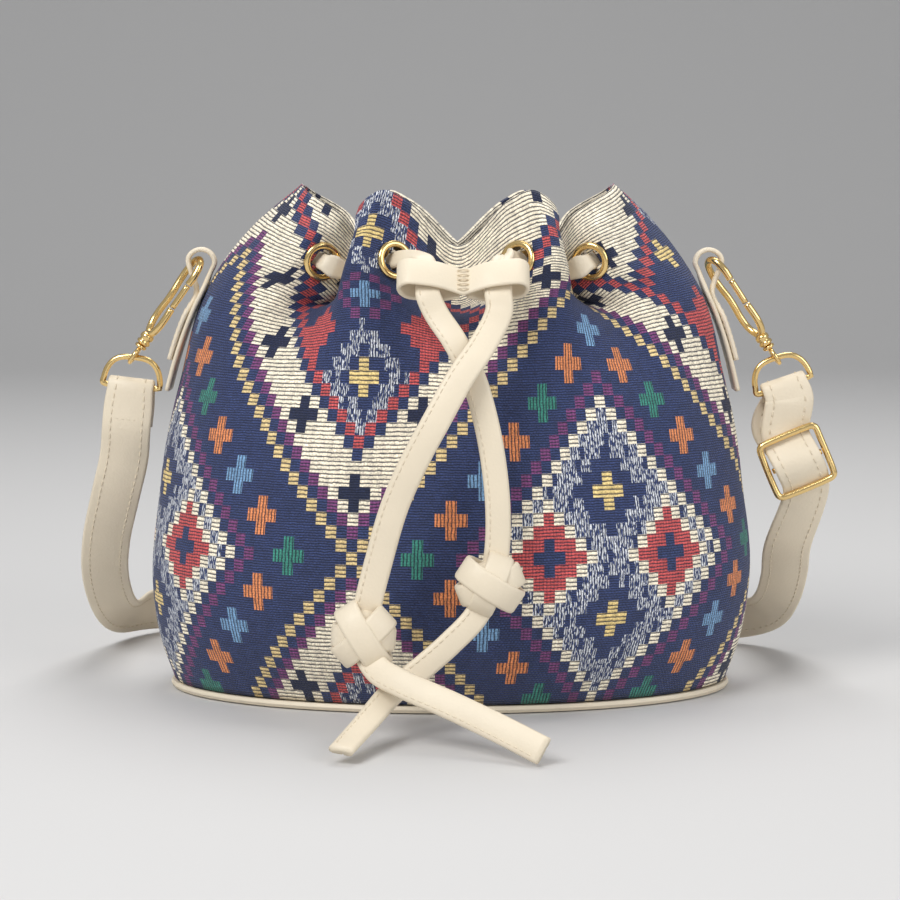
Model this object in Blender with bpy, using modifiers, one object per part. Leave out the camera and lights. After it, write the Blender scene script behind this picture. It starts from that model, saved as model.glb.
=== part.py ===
"""Drawstring bucket bag: patterned body, base, lining, eyelets, drawstring, clasps and shoulder strap.

Metres, +Z up. The origin is the centre of the base, on the floor. +X is the bag's right as seen
from the front, and the front faces -Y.
"""

import math

import bmesh
import bpy
import numpy as np
from mathutils import Matrix, Vector

MM = 0.001

# Body fabric
FABRIC_ROUND = 610 * MM  # length of fabric once round the body
FABRIC_HIGH = 210 * MM  # from the base seam to the rim
FABRIC_THICK = 1.4 * MM
SEAM_GAP = 0.5 * MM
QUARTER = FABRIC_ROUND / 4
EYELET_BELOW_RIM = 25 * MM
EYELET_LEVEL = FABRIC_HIGH - EYELET_BELOW_RIM  # along the fabric, from the base seam
MOUTH_SHIFT = 3 * MM  # the gathered mouth sits a little to the right

# Lower body: height along the fabric, half width, half depth, height above the floor
LOWER_RINGS = [
    (0 * MM, 108.3 * MM, 55 * MM, 3.6 * MM),
    (18 * MM, 113.8 * MM, 66 * MM, 20.5 * MM),
    (42 * MM, 117 * MM, 73 * MM, 43.5 * MM),
    (84 * MM, 112.5 * MM, 71 * MM, 85 * MM),
    (120 * MM, 106.5 * MM, 63 * MM, 119.5 * MM),
]
# Half gathered ring below the eyelets
SHOULDER_LEVEL = 152 * MM
SHOULDER = (96.5 * MM, 55 * MM, 149 * MM)
SHOULDER_GATHER = 0.35
# Gathered rings, one quarter of each: place along the fabric from the front centre, x, y, z
EYELET_RING = [
    (0 * MM, 0 * MM, -40 * MM, 153 * MM),
    (25 * MM, 22.5 * MM, -49 * MM, 168 * MM),
    (36 * MM, 33 * MM, -54 * MM, 172 * MM),
    (46 * MM, 41 * MM, -50 * MM, 171 * MM),
    (63 * MM, 38.5 * MM, -35 * MM, 162 * MM),
    (82 * MM, 42 * MM, -19 * MM, 156.5 * MM),
    (101 * MM, 50 * MM, -33 * MM, 167 * MM),
    (125 * MM, 68 * MM, -25 * MM, 175 * MM),
    (FABRIC_ROUND / 4, 78 * MM, 0 * MM, 180 * MM),
]
RIM_RING = [
    (0 * MM, 0 * MM, -33 * MM, 173 * MM),
    (25 * MM, 19 * MM, -42 * MM, 190 * MM),
    (36 * MM, 28 * MM, -47 * MM, 193.5 * MM),
    (46 * MM, 36 * MM, -45 * MM, 188 * MM),
    (63 * MM, 33 * MM, -30 * MM, 177 * MM),
    (82 * MM, 36 * MM, -14 * MM, 174 * MM),
    (101 * MM, 43 * MM, -29 * MM, 184 * MM),
    (125 * MM, 57 * MM, -22 * MM, 193 * MM),
    (FABRIC_ROUND / 4, 60 * MM, 0 * MM, 196 * MM),
]
PANEL_LEVELS = [0, 14, 32, 54, 78, 100, 120, 136, 149, 161]  # below the eyelets, in millimetres

# Base
BASE_HALF_WIDTH = 106.4 * MM
BASE_HALF_DEPTH = 53.4 * MM
BASE_THICK = 2.6 * MM
PIPING_RADIUS = 1.4 * MM
PIPING_HEIGHT = 1.8 * MM

# Lining
LINING_THICK = 0.8 * MM
LINING_GAP = 2.0 * MM
LINING_TOP = 150 * MM
LINING_FLOOR = 3.2 * MM
LINING_INSET = 3.0 * MM

# Eyelets
EYELET_PLACES = [25 * MM, 63 * MM, 101 * MM]  # from the front centre, then mirrored
EYELET_OUTER = 7.3 * MM
EYELET_HOLE = 4.8 * MM
EYELET_WALL = 0.5 * MM
EYELET_CLEAR = 0.6 * MM
FLANGE_LIFT = 0.15 * MM
WASHER_THICK = 0.8 * MM
FLAT_ROUND_EYELET = 11.8 * MM
FLAT_FADES_BY = 22 * MM

# Drawstring
STRING_WIDE = 10 * MM
STRING_WIDE_IN_EYELET = 6.6 * MM
STRING_THICK = 2.6 * MM
STRING_END_GAP = 0.4 * MM
STRING_REST = 1.0 * MM  # how far in front of the loop's middle it lies

# Keeper
KEEPER_HALF_WIDTH = 23 * MM
KEEPER_DEEP = 9.5 * MM
KEEPER_LONG = 11 * MM
KEEPER_WALL = 1.6 * MM
KEEPER_CENTRE = Vector((4.7 * MM, -69 * MM, 161 * MM))

# Side tabs
TAB_WIDE = 15 * MM
TAB_WIDE_AT_CREST = 4.8 * MM
TAB_THICK = 1.8 * MM
TAB_GAP = 2.1 * MM
TAB_EYE = 4.3 * MM

# Clasps
HOOK_WIRE = 1.4 * MM
HOOK_HALF = 5.4 * MM
HOOK_HIGH = 41 * MM
HOOK_TURN = math.radians(25)
GATE_FOOT = 19.1 * MM  # along the hook, on the gate's hinge axis
GATE_TOP = 29.4 * MM
BOSS_RADIUS = 2.7 * MM
BOSS_HIGH = 5 * MM
SWIVEL_BORE = 1.4 * MM
SWIVEL_PIN = 1.05 * MM
EYE_RADIUS = 3.2 * MM
EYE_WIRE = 0.9 * MM
RING_WIRE = 1.15 * MM
RING_HALF = 11.1 * MM
RING_HIGH = 11 * MM
RING_SQUARENESS = 0.62

# Shoulder strap
STRAP_WIDE = 19 * MM
STRAP_THICK = 2.0 * MM
SLIDER_HALF_WIDE = 11.8 * MM
SLIDER_HALF_HIGH = 11 * MM
SLIDER_WIRE = 1.3 * MM

for leftover in list(bpy.data.objects):
    bpy.data.objects.remove(leftover, do_unlink=True)

parts = bpy.data.collections.new("drawstring_bucket_bag")
bpy.context.scene.collection.children.link(parts)
cutters = bpy.data.collections.new("cutters")
bpy.context.scene.collection.children.link(cutters)


def make_material(name, colour, roughness, metallic=0.0):
    material = bpy.data.materials.new(name)
    material.use_nodes = True
    shader = material.node_tree.nodes["Principled BSDF"]
    shader.inputs["Base Color"].default_value = (*colour, 1)
    shader.inputs["Roughness"].default_value = roughness
    shader.inputs["Metallic"].default_value = metallic
    return material


JACQUARD = make_material("jacquard", (0.03, 0.05, 0.16), 0.8)
CREAM = make_material("cream_leather", (0.82, 0.74, 0.6), 0.5)
GREY_LINING = make_material("lining_cloth", (0.35, 0.33, 0.32), 0.85)
GOLD = make_material("gold_metal", (0.83, 0.6, 0.25), 0.25, 1.0)


def place(obj, material, collection=parts):
    collection.objects.link(obj)
    obj.data.materials.append(material)
    return obj


def mesh_object(name, points, faces, material, collection=parts):
    mesh = bpy.data.meshes.new(name)
    mesh.from_pydata([tuple(p) for p in points], [], faces)
    mesh.update()
    return place(bpy.data.objects.new(name, mesh), material, collection)


def thicken(obj, thickness, offset):
    modifier = obj.modifiers.new("thickness", "SOLIDIFY")
    modifier.thickness = thickness
    modifier.offset = offset
    modifier.use_rim = True
    return obj


def hermite(stations, values, wanted):
    """Smooth curve through values, which may be rows of coordinates, read at the wanted places."""
    stations = np.asarray(stations, float)
    values = np.asarray(values, float)
    slopes = np.gradient(values, stations, axis=0)
    wanted = np.asarray(wanted, float)
    index = np.clip(np.searchsorted(stations, wanted, side="right") - 1, 0, len(stations) - 2)
    step = stations[index + 1] - stations[index]
    t = (wanted - stations[index]) / step
    shape = (-1,) + (1,) * (values.ndim - 1)
    t, step = t.reshape(shape), step.reshape(shape)
    start, end = values[index], values[index + 1]
    leave, arrive = slopes[index] * step, slopes[index + 1] * step
    return (
        (2 * t**3 - 3 * t**2 + 1) * start
        + (t**3 - 2 * t**2 + t) * leave
        + (3 * t**2 - 2 * t**3) * end
        + (t**3 - t**2) * arrive
    )


def smooth_path(points, longest=10 * MM, turn=math.radians(24)):
    """Points on a smooth curve through the given ones, with the values they carry, closer where it bends."""
    points = np.asarray(points, float)
    gaps = np.linalg.norm(np.diff(points[:, :3], axis=0), axis=1)
    along = np.concatenate([[0], np.cumsum(np.sqrt(gaps))])
    fine = hermite(along, points, np.linspace(0, along[-1], 40 * len(points)))
    steps = np.diff(fine[:, :3], axis=0)
    long = np.linalg.norm(steps, axis=1)
    ahead = steps / np.maximum(long, 1e-9)[:, None]
    bend = np.arccos(np.clip((ahead[1:] * ahead[:-1]).sum(axis=1), -1, 1))
    effort = long / longest
    effort[1:] += bend / turn
    effort = np.concatenate([[0], np.cumsum(effort)])
    wanted = np.linspace(0, effort[-1], max(3, math.ceil(effort[-1]) + 1))
    return np.stack([np.interp(wanted, effort, fine[:, i]) for i in range(points.shape[1])], axis=1)


def on_ellipse(places, half_width, half_depth):
    """Points on an oval at these places along the fabric, counted from the front centre."""
    angle = np.linspace(-math.pi, math.pi, 721)
    x, y = half_width * np.sin(angle), -half_depth * np.cos(angle)
    length = np.concatenate([[0], np.cumsum(np.hypot(np.diff(x), np.diff(y)))])
    share = (np.asarray(places) / FABRIC_ROUND + 0.5) * length[-1]
    return np.interp(share, length, x), np.interp(share, length, y)


def on_gathered_ring(places, ring):
    """Points on a gathered ring, of which the table holds the quarter at the front right."""
    ring = np.array(ring)
    before, after = ring[:0:-1], ring[-2::-1]
    where = np.concatenate([-before[:, 0], ring[:, 0], 2 * QUARTER - after[:, 0]])
    x = np.concatenate([-before[:, 1], ring[:, 1], after[:, 1]])
    y = np.concatenate([before[:, 2], ring[:, 2], -after[:, 2]])
    z = np.concatenate([before[:, 3], ring[:, 3], after[:, 3]])
    places = np.asarray(places)
    found = hermite(where, np.stack([x, y, z], axis=1), np.abs(places))
    found[:, 0] *= np.where(places < 0, -1, 1)
    return found


def surface(places, levels):
    """The fabric's outer face before the eyelets flatten it, as rows of levels by places."""
    places = (np.asarray(places, float) + 2 * QUARTER) % FABRIC_ROUND - 2 * QUARTER
    stations, rings = [], []
    for level, half_width, half_depth, height in LOWER_RINGS:
        x, y = on_ellipse(places, half_width, half_depth)
        stations.append(level)
        rings.append(np.stack([x, y, np.full_like(x, height)], axis=1))
    gathered = on_gathered_ring(places, EYELET_RING)
    half_width, half_depth, height = SHOULDER
    x, y = on_ellipse(places, half_width, half_depth)
    even_x, even_y = on_ellipse(places, EYELET_RING[-1][1], -EYELET_RING[1][2])
    mean_height = gathered[:, 2].mean()
    stations.append(SHOULDER_LEVEL)
    rings.append(
        np.stack(
            [
                x + SHOULDER_GATHER * (gathered[:, 0] - even_x),
                y + SHOULDER_GATHER * (gathered[:, 1] - even_y),
                height + SHOULDER_GATHER * (gathered[:, 2] - mean_height),
            ],
            axis=1,
        )
    )
    stations += [EYELET_LEVEL, FABRIC_HIGH]
    rings += [gathered, on_gathered_ring(places, RIM_RING)]
    found = hermite(stations, np.stack(rings), levels)
    lean = np.clip(np.asarray(levels) / FABRIC_HIGH, 0, 1) ** 2
    found[:, :, 0] += MOUTH_SHIFT * lean[:, None]
    return found


def frame_at(place_along, level):
    """Point, outward normal and upward direction of the fabric at one place."""
    step = 2 * MM
    near = surface([place_along - step, place_along, place_along + step], [level - step, level, level + step])
    across = Vector(near[1, 2] - near[1, 0]).normalized()
    up = Vector(near[2, 1] - near[0, 1]).normalized()
    normal = across.cross(up).normalized()
    return Vector(near[1, 1]), normal, normal.cross(across).normalized()


def eyelet_places():
    """Places of the eyelets along the fabric, from the left of the front centre right round."""
    front = [-p for p in reversed(EYELET_PLACES)] + EYELET_PLACES
    back = [2 * QUARTER - p for p in reversed(EYELET_PLACES)]
    back_left = [-2 * QUARTER + p for p in EYELET_PLACES]
    return back_left + front + back


EYELET_FRAMES = [frame_at(place_along, EYELET_LEVEL) for place_along in eyelet_places()]


def fabric(places, levels):
    """The fabric's outer face, flat round each eyelet."""
    grid = surface(places, levels)
    places, levels = np.asarray(places), np.asarray(levels)
    for place_along, (centre, normal, _) in zip(eyelet_places(), EYELET_FRAMES):
        away = grid - np.array(centre)
        along = (places - place_along + 2 * QUARTER) % FABRIC_ROUND - 2 * QUARTER
        distance = (along[None, :] ** 4 + (levels - EYELET_LEVEL)[:, None] ** 4) ** 0.25
        fade = np.clip((FLAT_FADES_BY - distance) / (FLAT_FADES_BY - FLAT_ROUND_EYELET), 0, 1)
        fade = fade * fade * (3 - 2 * fade)
        grid -= ((away @ np.array(normal)) * fade)[:, :, None] * np.array(normal)
    return grid


def grid_faces(rows, columns):
    return [
        (r * columns + c, r * columns + c + 1, (r + 1) * columns + c + 1, (r + 1) * columns + c)
        for r in range(rows - 1)
        for c in range(columns - 1)
    ]


def eyelet_matrix(centre, normal, up):
    across = up.cross(normal)
    turn = Matrix((across, up, normal)).transposed().to_4x4()
    return Matrix.Translation(centre) @ turn


def cylinder(name, radius, length, matrix, material=None, collection=cutters, sides=16):
    """A round bar along its matrix's Z, centred on its origin."""
    shape = bmesh.new()
    bmesh.ops.create_cone(
        shape, cap_ends=True, segments=sides, radius1=radius, radius2=radius, depth=length
    )
    mesh = bpy.data.meshes.new(name)
    shape.to_mesh(mesh)
    shape.free()
    obj = bpy.data.objects.new(name, mesh)
    collection.objects.link(obj)
    obj.matrix_world = matrix
    if material:
        mesh.materials.append(material)
    if collection is cutters:
        obj.hide_render = True
        obj.display_type = "WIRE"
    return obj


def cut(obj, cutter, operation="DIFFERENCE"):
    modifier = obj.modifiers.new(cutter.name, "BOOLEAN")
    modifier.object = cutter
    modifier.operation = operation
    modifier.solver = "EXACT"


def quarter_columns():
    """Places of the mesh's columns over one quarter: three at each eyelet, and some between."""
    reach = FLAT_ROUND_EYELET - 1.5 * MM
    columns = [0.0]
    for place_along in EYELET_PLACES:
        columns += [place_along - reach, place_along, place_along + reach]
    columns += [(a + b) / 2 for a, b in zip(EYELET_PLACES, EYELET_PLACES[1:])]
    last = EYELET_PLACES[-1] + reach
    rest = QUARTER - SEAM_GAP - last
    columns += [last + rest * share for share in (0.33, 0.66, 1.0)]
    return sorted(columns)


def panel_levels():
    reach = FLAT_ROUND_EYELET - 1.5 * MM
    levels = [level * MM for level in PANEL_LEVELS]
    levels += [EYELET_LEVEL - reach, EYELET_LEVEL, EYELET_LEVEL + reach, FABRIC_HIGH]
    return np.array(levels)


def make_panel(name, middle):
    half = np.array(quarter_columns())
    places = middle + np.concatenate([-half[:0:-1], half])
    levels = panel_levels()
    grid = fabric(places, levels)
    panel = mesh_object(name, grid.reshape(-1, 3), grid_faces(len(levels), len(places)), JACQUARD)
    thicken(panel, FABRIC_THICK, -1)
    return panel


def make_panels():
    front = make_panel("front_panel", 0)
    back = make_panel("back_panel", 2 * QUARTER)
    for number, (centre, normal, up) in enumerate(EYELET_FRAMES, 1):
        hole = EYELET_HOLE + EYELET_WALL + EYELET_CLEAR
        cutter = cylinder(
            f"eyelet_cutter_{number:02d}", hole, 8 * MM, eyelet_matrix(centre, normal, up)
        )
        cut(back if centre.y > 0 else front, cutter)


def turned(name, profile, matrix, material, sides=12):
    """A closed profile of (radius, height) turned about the matrix's Z."""
    points = [(r, 0, z) for r, z in profile]
    mesh = bpy.data.meshes.new(name)
    edges = [(i, (i + 1) % len(points)) for i in range(len(points))]
    mesh.from_pydata(points, edges, [])
    obj = place(bpy.data.objects.new(name, mesh), material)
    screw = obj.modifiers.new("turn", "SCREW")
    screw.steps = screw.render_steps = sides
    screw.use_merge_vertices = True
    screw.merge_threshold = 0.00001
    obj.matrix_world = matrix
    return obj


def make_eyelets():
    barrel = EYELET_HOLE + EYELET_WALL
    foot = -(FABRIC_THICK + EYELET_CLEAR + WASHER_THICK + EYELET_CLEAR)
    flange = EYELET_CLEAR + FLANGE_LIFT
    crown = flange + 1.3 * MM
    profile = [
        (EYELET_HOLE, crown - 0.5 * MM),
        (EYELET_HOLE + 1 * MM, crown),
        (EYELET_OUTER - 0.6 * MM, crown - 0.4 * MM),
        (EYELET_OUTER, flange),
        (barrel, flange),
        (barrel, foot),
        (EYELET_HOLE, foot),
    ]
    top = -(FABRIC_THICK + EYELET_CLEAR)
    inner = barrel + EYELET_CLEAR
    washer = [
        (inner, top),
        (EYELET_OUTER - 0.2 * MM, top),
        (EYELET_OUTER - 0.2 * MM, top - WASHER_THICK),
        (inner, top - WASHER_THICK),
    ]
    for number, (centre, normal, up) in enumerate(EYELET_FRAMES, 1):
        matrix = eyelet_matrix(centre, normal, up)
        turned(f"eyelet_{number:02d}", profile, matrix, GOLD)
        turned(f"eyelet_washer_{number:02d}", washer, matrix, GOLD)


def oval(half_width, half_depth, count):
    return [
        Vector((half_width * math.sin(a), -half_depth * math.cos(a), 0))
        for a in (2 * math.pi * i / count for i in range(count))
    ]


def make_base():
    count = 56
    rim = oval(BASE_HALF_WIDTH, BASE_HALF_DEPTH, count)
    bottom = [(p.x, p.y, 0) for p in rim]
    base = mesh_object("base_panel", bottom, [tuple(range(count))], CREAM)
    thicken(base, BASE_THICK, 1)
    reach = PIPING_RADIUS + EYELET_CLEAR
    path = oval(BASE_HALF_WIDTH + reach, BASE_HALF_DEPTH + reach, count)
    wire("base_piping", [p + Vector((0, 0, PIPING_HEIGHT)) for p in path], PIPING_RADIUS, CREAM, True)


def wire(name, points, radius, material, closed=False, resolution=1):
    """A round wire through the points."""
    curve = bpy.data.curves.new(name, "CURVE")
    curve.dimensions = "3D"
    curve.bevel_depth = radius
    curve.bevel_resolution = resolution
    curve.use_fill_caps = not closed
    spline = curve.splines.new("POLY")
    spline.points.add(len(points) - 1)
    for point, place_at in zip(spline.points, points):
        point.co = (*place_at, 1)
    spline.use_cyclic_u = closed
    return place(bpy.data.objects.new(name, curve), material)


def as_mesh(obj):
    """The curve object made a welded mesh object of the same name."""
    graph = bpy.context.evaluated_depsgraph_get()
    mesh = bpy.data.meshes.new_from_object(obj.evaluated_get(graph))
    shape = bmesh.new()
    shape.from_mesh(mesh)
    bmesh.ops.remove_doubles(shape, verts=shape.verts, dist=0.00001)
    shape.to_mesh(mesh)
    shape.free()
    name, matrix = obj.name, obj.matrix_world.copy()
    collection = obj.users_collection[0]
    bpy.data.objects.remove(obj, do_unlink=True)
    made = bpy.data.objects.new(name, mesh)
    made.name = name
    collection.objects.link(made)
    made.matrix_world = matrix
    return made


def make_lining():
    """An open inner bag: a wall that follows the fabric, closed at the bottom."""
    columns = 44
    inset = FABRIC_THICK + LINING_GAP
    places = np.array([-2 * QUARTER + FABRIC_ROUND * i / columns for i in range(columns)])
    levels = np.linspace(12 * MM, LINING_TOP, 9)
    grid = surface(places, levels)
    step = 1 * MM
    ahead = surface(places + step, levels)
    above = surface(places, levels + step)
    behind = surface(places - step, levels)
    normal = np.cross(ahead - behind, above - grid)
    normal /= np.linalg.norm(normal, axis=2)[:, :, None]
    wall = grid - normal * inset
    foot_x, foot_y = on_ellipse(
        places, BASE_HALF_WIDTH - LINING_INSET, BASE_HALF_DEPTH - LINING_INSET
    )
    foot = np.stack([foot_x, foot_y, np.full(columns, LINING_FLOOR + LINING_THICK)], axis=1)
    points = np.concatenate([[[0, 0, LINING_FLOOR + LINING_THICK]], foot, wall.reshape(-1, 3)])
    faces = [(0, 1 + (c + 1) % columns, 1 + c) for c in range(columns)]
    faces = [tuple(reversed(f)) for f in faces]
    for row in range(len(levels)):
        low, high = 1 + row * columns, 1 + (row + 1) * columns
        for c in range(columns):
            d = (c + 1) % columns
            faces.append((low + c, low + d, high + d, high + c))
    shape = bmesh.new()
    made = [shape.verts.new(p) for p in points]
    for face in faces:
        shape.faces.new([made[i] for i in face])
    bmesh.ops.recalc_face_normals(shape, faces=shape.faces)
    mesh = bpy.data.meshes.new("lining")
    shape.to_mesh(mesh)
    shape.free()
    lining = place(bpy.data.objects.new("lining", mesh), GREY_LINING)
    thicken(lining, LINING_THICK, -1)
    low = [p for p in mesh.polygons if abs(p.normal.z) > 0.9]
    if low[0].normal.z > 0:
        mesh.flip_normals()


def ribbon(name, stations, thickness, material):
    """A flat strap. Each station holds a point, the direction of its width, and its width."""
    rows = smooth_path([[*p, *d, w] for p, d, w in stations])
    count = len(rows)
    points = []
    for row in rows:
        point, across = Vector(row[:3]), Vector(row[3:6]).normalized()
        points += [point - across * row[6] / 2, point + across * row[6] / 2]
    faces = [(2 * i, 2 * i + 1, 2 * i + 3, 2 * i + 2) for i in range(count - 1)]
    return thicken(mesh_object(name, points, faces, material), thickness, 0)


def make_tab(name, side):
    """A folded strip sewn up the side seam, with an eye at its top for the clasp."""
    wide = Vector((0, 1, 0))
    stand = TAB_THICK / 2 + TAB_GAP
    stations = []
    for level in (116, 128, 140, 149, 156):
        point, normal, _ = frame_at(side * QUARTER, level * MM)
        stations.append((point + normal * stand, wide, TAB_WIDE))
    point, normal, up = frame_at(side * QUARTER, 158 * MM)
    round_eye = TAB_EYE + TAB_THICK / 2
    centre = point + normal * (stand + round_eye + 0.5 * MM) + up * (round_eye + 2.4 * MM)
    for degrees in (200, 150, 110, 70, 30, -10):
        a = math.radians(degrees)
        around = normal * math.cos(a) + up * math.sin(a)
        stations.append((centre + around * round_eye, wide, TAB_WIDE_AT_CREST))
    stand += TAB_THICK + 0.4 * MM
    for level, width in ((155, TAB_WIDE_AT_CREST), (146, TAB_WIDE), (136, TAB_WIDE), (128, TAB_WIDE)):
        point, normal, _ = frame_at(side * QUARTER, level * MM)
        stations.append((point + normal * stand, wide, width))
    ribbon(name, stations, TAB_THICK, CREAM)
    return centre


class Clasp:
    """A swivel clasp's own axes: from the boss at its foot to the top of the hook."""

    def __init__(self, top, foot):
        self.axis = (top - foot).normalized()
        self.foot = top - self.axis * HOOK_HIGH
        level = self.axis.cross(Vector((0, 1, 0))).normalized()
        if level.x > 0:
            level = -level
        turn = HOOK_TURN
        self.side = (Vector((0, 1, 0)) * math.cos(turn) + level * math.sin(turn)).normalized()
        self.out = self.side.cross(self.axis).normalized()

    def at(self, across, along, out=0.0):
        return self.foot + self.side * across + self.axis * along + self.out * out

    def matrix(self, across, along):
        turn = Matrix((self.side, self.out, self.axis)).transposed().to_4x4()
        return Matrix.Translation(self.at(across, along)) @ turn


def make_clasp(label, clasp):
    half = HOOK_HALF
    path = [
        (-half * 0.86, 18.5 * MM),
        (-half * 0.93, 14.5 * MM),
        (-half * 0.88, 10.0 * MM),
        (-half * 0.5, 6.4 * MM),
        (0, 5.0 * MM),
        (half * 0.5, 6.4 * MM),
        (half * 0.9, 10.0 * MM),
        (half * 0.96, 14.5 * MM),
        (half * 0.82, 19.5 * MM),
        (half * 0.8, 23.5 * MM),
        (half * 0.95, 29.0 * MM),
        (half * 0.95, 34.0 * MM),
        (half * 0.62, 38.6 * MM),
        (0, 40.0 * MM),
        (-half * 0.62, 38.6 * MM),
        (-half * 0.95, 34.0 * MM),
        (-half * 0.92, 30.0 * MM),
    ]
    rows = smooth_path([[*clasp.at(a, b)] for a, b in path], 4 * MM, math.radians(20))
    hook = as_mesh(wire(f"clasp_hook_{label}", [Vector(r) for r in rows], HOOK_WIRE, GOLD, resolution=2))
    boss = cylinder(
        f"clasp_boss_{label}", BOSS_RADIUS, BOSS_HIGH, clasp.matrix(0, BOSS_HIGH / 2 + 0.3 * MM)
    )
    cut(hook, boss, "UNION")
    bore = cylinder(f"clasp_bore_{label}", SWIVEL_BORE, 6 * MM, clasp.matrix(0, 0.8 * MM), sides=12)
    cut(hook, bore)
    gate_foot, gate_top = (-half * 0.855, GATE_FOOT), (-half * 0.92, GATE_TOP)
    middle = (-half * 0.9, (GATE_FOOT + GATE_TOP) / 2)
    gate_path = [clasp.at(*gate_foot), clasp.at(*middle), clasp.at(*gate_top)]
    wire(f"clasp_gate_{label}", gate_path, HOOK_WIRE * 0.86, GOLD, resolution=2)
    eye_at = -(EYE_RADIUS + EYE_WIRE + 1.0 * MM)
    steps = 16
    eye_path = [
        clasp.foot
        + clasp.axis * (eye_at + EYE_RADIUS * math.cos(a))
        + Vector((0, 1, 0)) * EYE_RADIUS * math.sin(a)
        for a in (2 * math.pi * i / steps for i in range(steps))
    ]
    eye = as_mesh(wire(f"clasp_swivel_{label}", eye_path, EYE_WIRE, GOLD, True))
    collar = cylinder(f"swivel_collar_{label}", 2.4 * MM, 1.4 * MM, clasp.matrix(0, -0.7 * MM))
    pin = cylinder(f"swivel_pin_{label}", SWIVEL_PIN, 4 * MM, clasp.matrix(0, 1 * MM), sides=12)
    cut(eye, collar, "UNION")
    cut(eye, pin, "UNION")
    return clasp.foot + clasp.axis * eye_at


def make_ring(name, through, bar_direction):
    """A half-round ring hanging in the swivel eye, with its straight bar below."""
    down = bar_direction.cross(Vector((0, 1, 0))).normalized()
    if down.z > 0:
        down = -down
    lift = 1.6 * MM
    crown = through - down * (EYE_RADIUS - EYE_WIRE - RING_WIRE - 0.3 * MM - lift)
    centre = crown + down * RING_HIGH
    points = []
    for i in range(17):
        a = math.pi * i / 16
        across = RING_HALF * math.copysign(abs(math.cos(a)) ** RING_SQUARENESS, math.cos(a))
        points.append(centre + bar_direction * across - down * RING_HIGH * math.sin(a))
    for share in (-0.5, 0.0, 0.5):
        points.append(centre + bar_direction * RING_HALF * share + down * 0.6 * MM)
    wire(name, points, RING_WIRE, GOLD, True)
    return centre + down * 0.6 * MM, down


def make_slider(centre, along, across):
    """A rectangular frame and its centre bar, which the strap weaves over."""
    facing = along.cross(across).normalized()
    corner = 2.2 * MM
    wide, high = SLIDER_HALF_WIDE, SLIDER_HALF_HIGH
    corners = [(wide, high), (-wide, high), (-wide, -high), (wide, -high)]
    points = []
    for number, (x, y) in enumerate(corners):
        inner_x, inner_y = x - math.copysign(corner, x), y - math.copysign(corner, y)
        for step in range(4):
            a = math.radians(90 * number + 30 * step)
            points.append(
                centre
                + across * (inner_x + corner * math.cos(a))
                + along * (inner_y + corner * math.sin(a))
            )
    wire("strap_slider_frame", points, SLIDER_WIRE, GOLD, True, 2)
    reach = wide - SLIDER_WIRE - 0.3 * MM
    bar = [centre - across * reach, centre, centre + across * reach]
    wire("strap_slider_bar", bar, SLIDER_WIRE * 0.85, GOLD, resolution=2)
    return facing


def make_keeper():
    """A band in a figure of eight, stitched between its two loops."""
    tilt = math.radians(38)
    channel = Vector((0, -math.sin(tilt), -math.cos(tilt)))
    deep = Vector((0, -math.cos(tilt), math.sin(tilt)))
    half, depth = KEEPER_HALF_WIDTH, KEEPER_DEEP / 2
    pinch = KEEPER_WALL / 2 + 0.25 * MM
    ring = []
    for i in range(9):
        a = math.radians(-90 + 180 * i / 8)
        ring.append((half - depth + depth * math.cos(a), depth * math.sin(a)))
    ring = [(9 * MM, -depth * 0.9)] + ring + [(9 * MM, depth * 0.9), (2.0 * MM, pinch * 1.6)]
    other = [(-x, y) for x, y in reversed(ring)]
    start = [(1.2 * MM, -pinch)]
    path = start + ring + [(0, pinch)] + other + [(-1.2 * MM, -pinch)]
    stations = []
    for x, y in path:
        lift = 0.10 * abs(x) - 1.0 * MM
        point = KEEPER_CENTRE + Vector((x, 0, lift)) + deep * y
        stations.append((point, channel, KEEPER_LONG))
    ribbon("keeper", stations, KEEPER_WALL, CREAM)
    return channel


# Free ends of the drawstring, from the keeper down: points in millimetres
RIGHT_END = [(17.5, -75.5, 151), (12, -84, 140), (3.5, -91, 128), (-5, -95, 113), (-12.5, -95.5, 99),
             (-19.5, -94.5, 83), (-25, -93.5, 64), (-28.8, -93.2, 48.7)]
RIGHT_KNOT = (-30.5, -94, 37)
RIGHT_TAIL = [(-26.0, -100.5, 27.1), (-17.3, -107, 23), (0, -115, 17), (16.5, -124, 11), (31.5, -134, 5.4)]
LEFT_END = [(-5, -75, 150), (1.5, -80, 140.5), (8, -83, 128), (12.5, -84.5, 113), (15.5, -85.5, 97),
            (17, -86, 80), (16.5, -86.4, 65.1)]
LEFT_KNOT = (14.2, -87.5, 54.5)
LEFT_TAIL = [(9.3, -89.7, 43.6), (0, -92, 34), (-8.8, -94, 26.5), (-20.5, -98.5, 17.5), (-29.5, -114, 10),
             (-37, -132, 5)]
LEFT_TAIL_TURNS = [(0.72, 0, -0.69), (0.72, 0, -0.69), (0.75, 0, -0.66), (0.85, -0.1, -0.5), (0.93, -0.25, -0.25),
                   (0.93, -0.3, -0.1)]


def strand(name, points, width, thickness, turn=(1, 0, 0), first=None):
    """A free stretch of strap through points in millimetres, after its first point in metres."""
    points = [Vector(p) * MM for p in points]
    if first:
        points = [*first, *points]
    stations = []
    for i, point in enumerate(points):
        ahead = points[min(i + 1, len(points) - 1)] - points[max(i - 1, 0)]
        across = Vector(turn[i] if isinstance(turn, list) else turn)
        across = (across - ahead.normalized() * across.dot(ahead.normalized())).normalized()
        stations.append((point, across, width))
    return ribbon(name, stations, thickness, CREAM)


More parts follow.
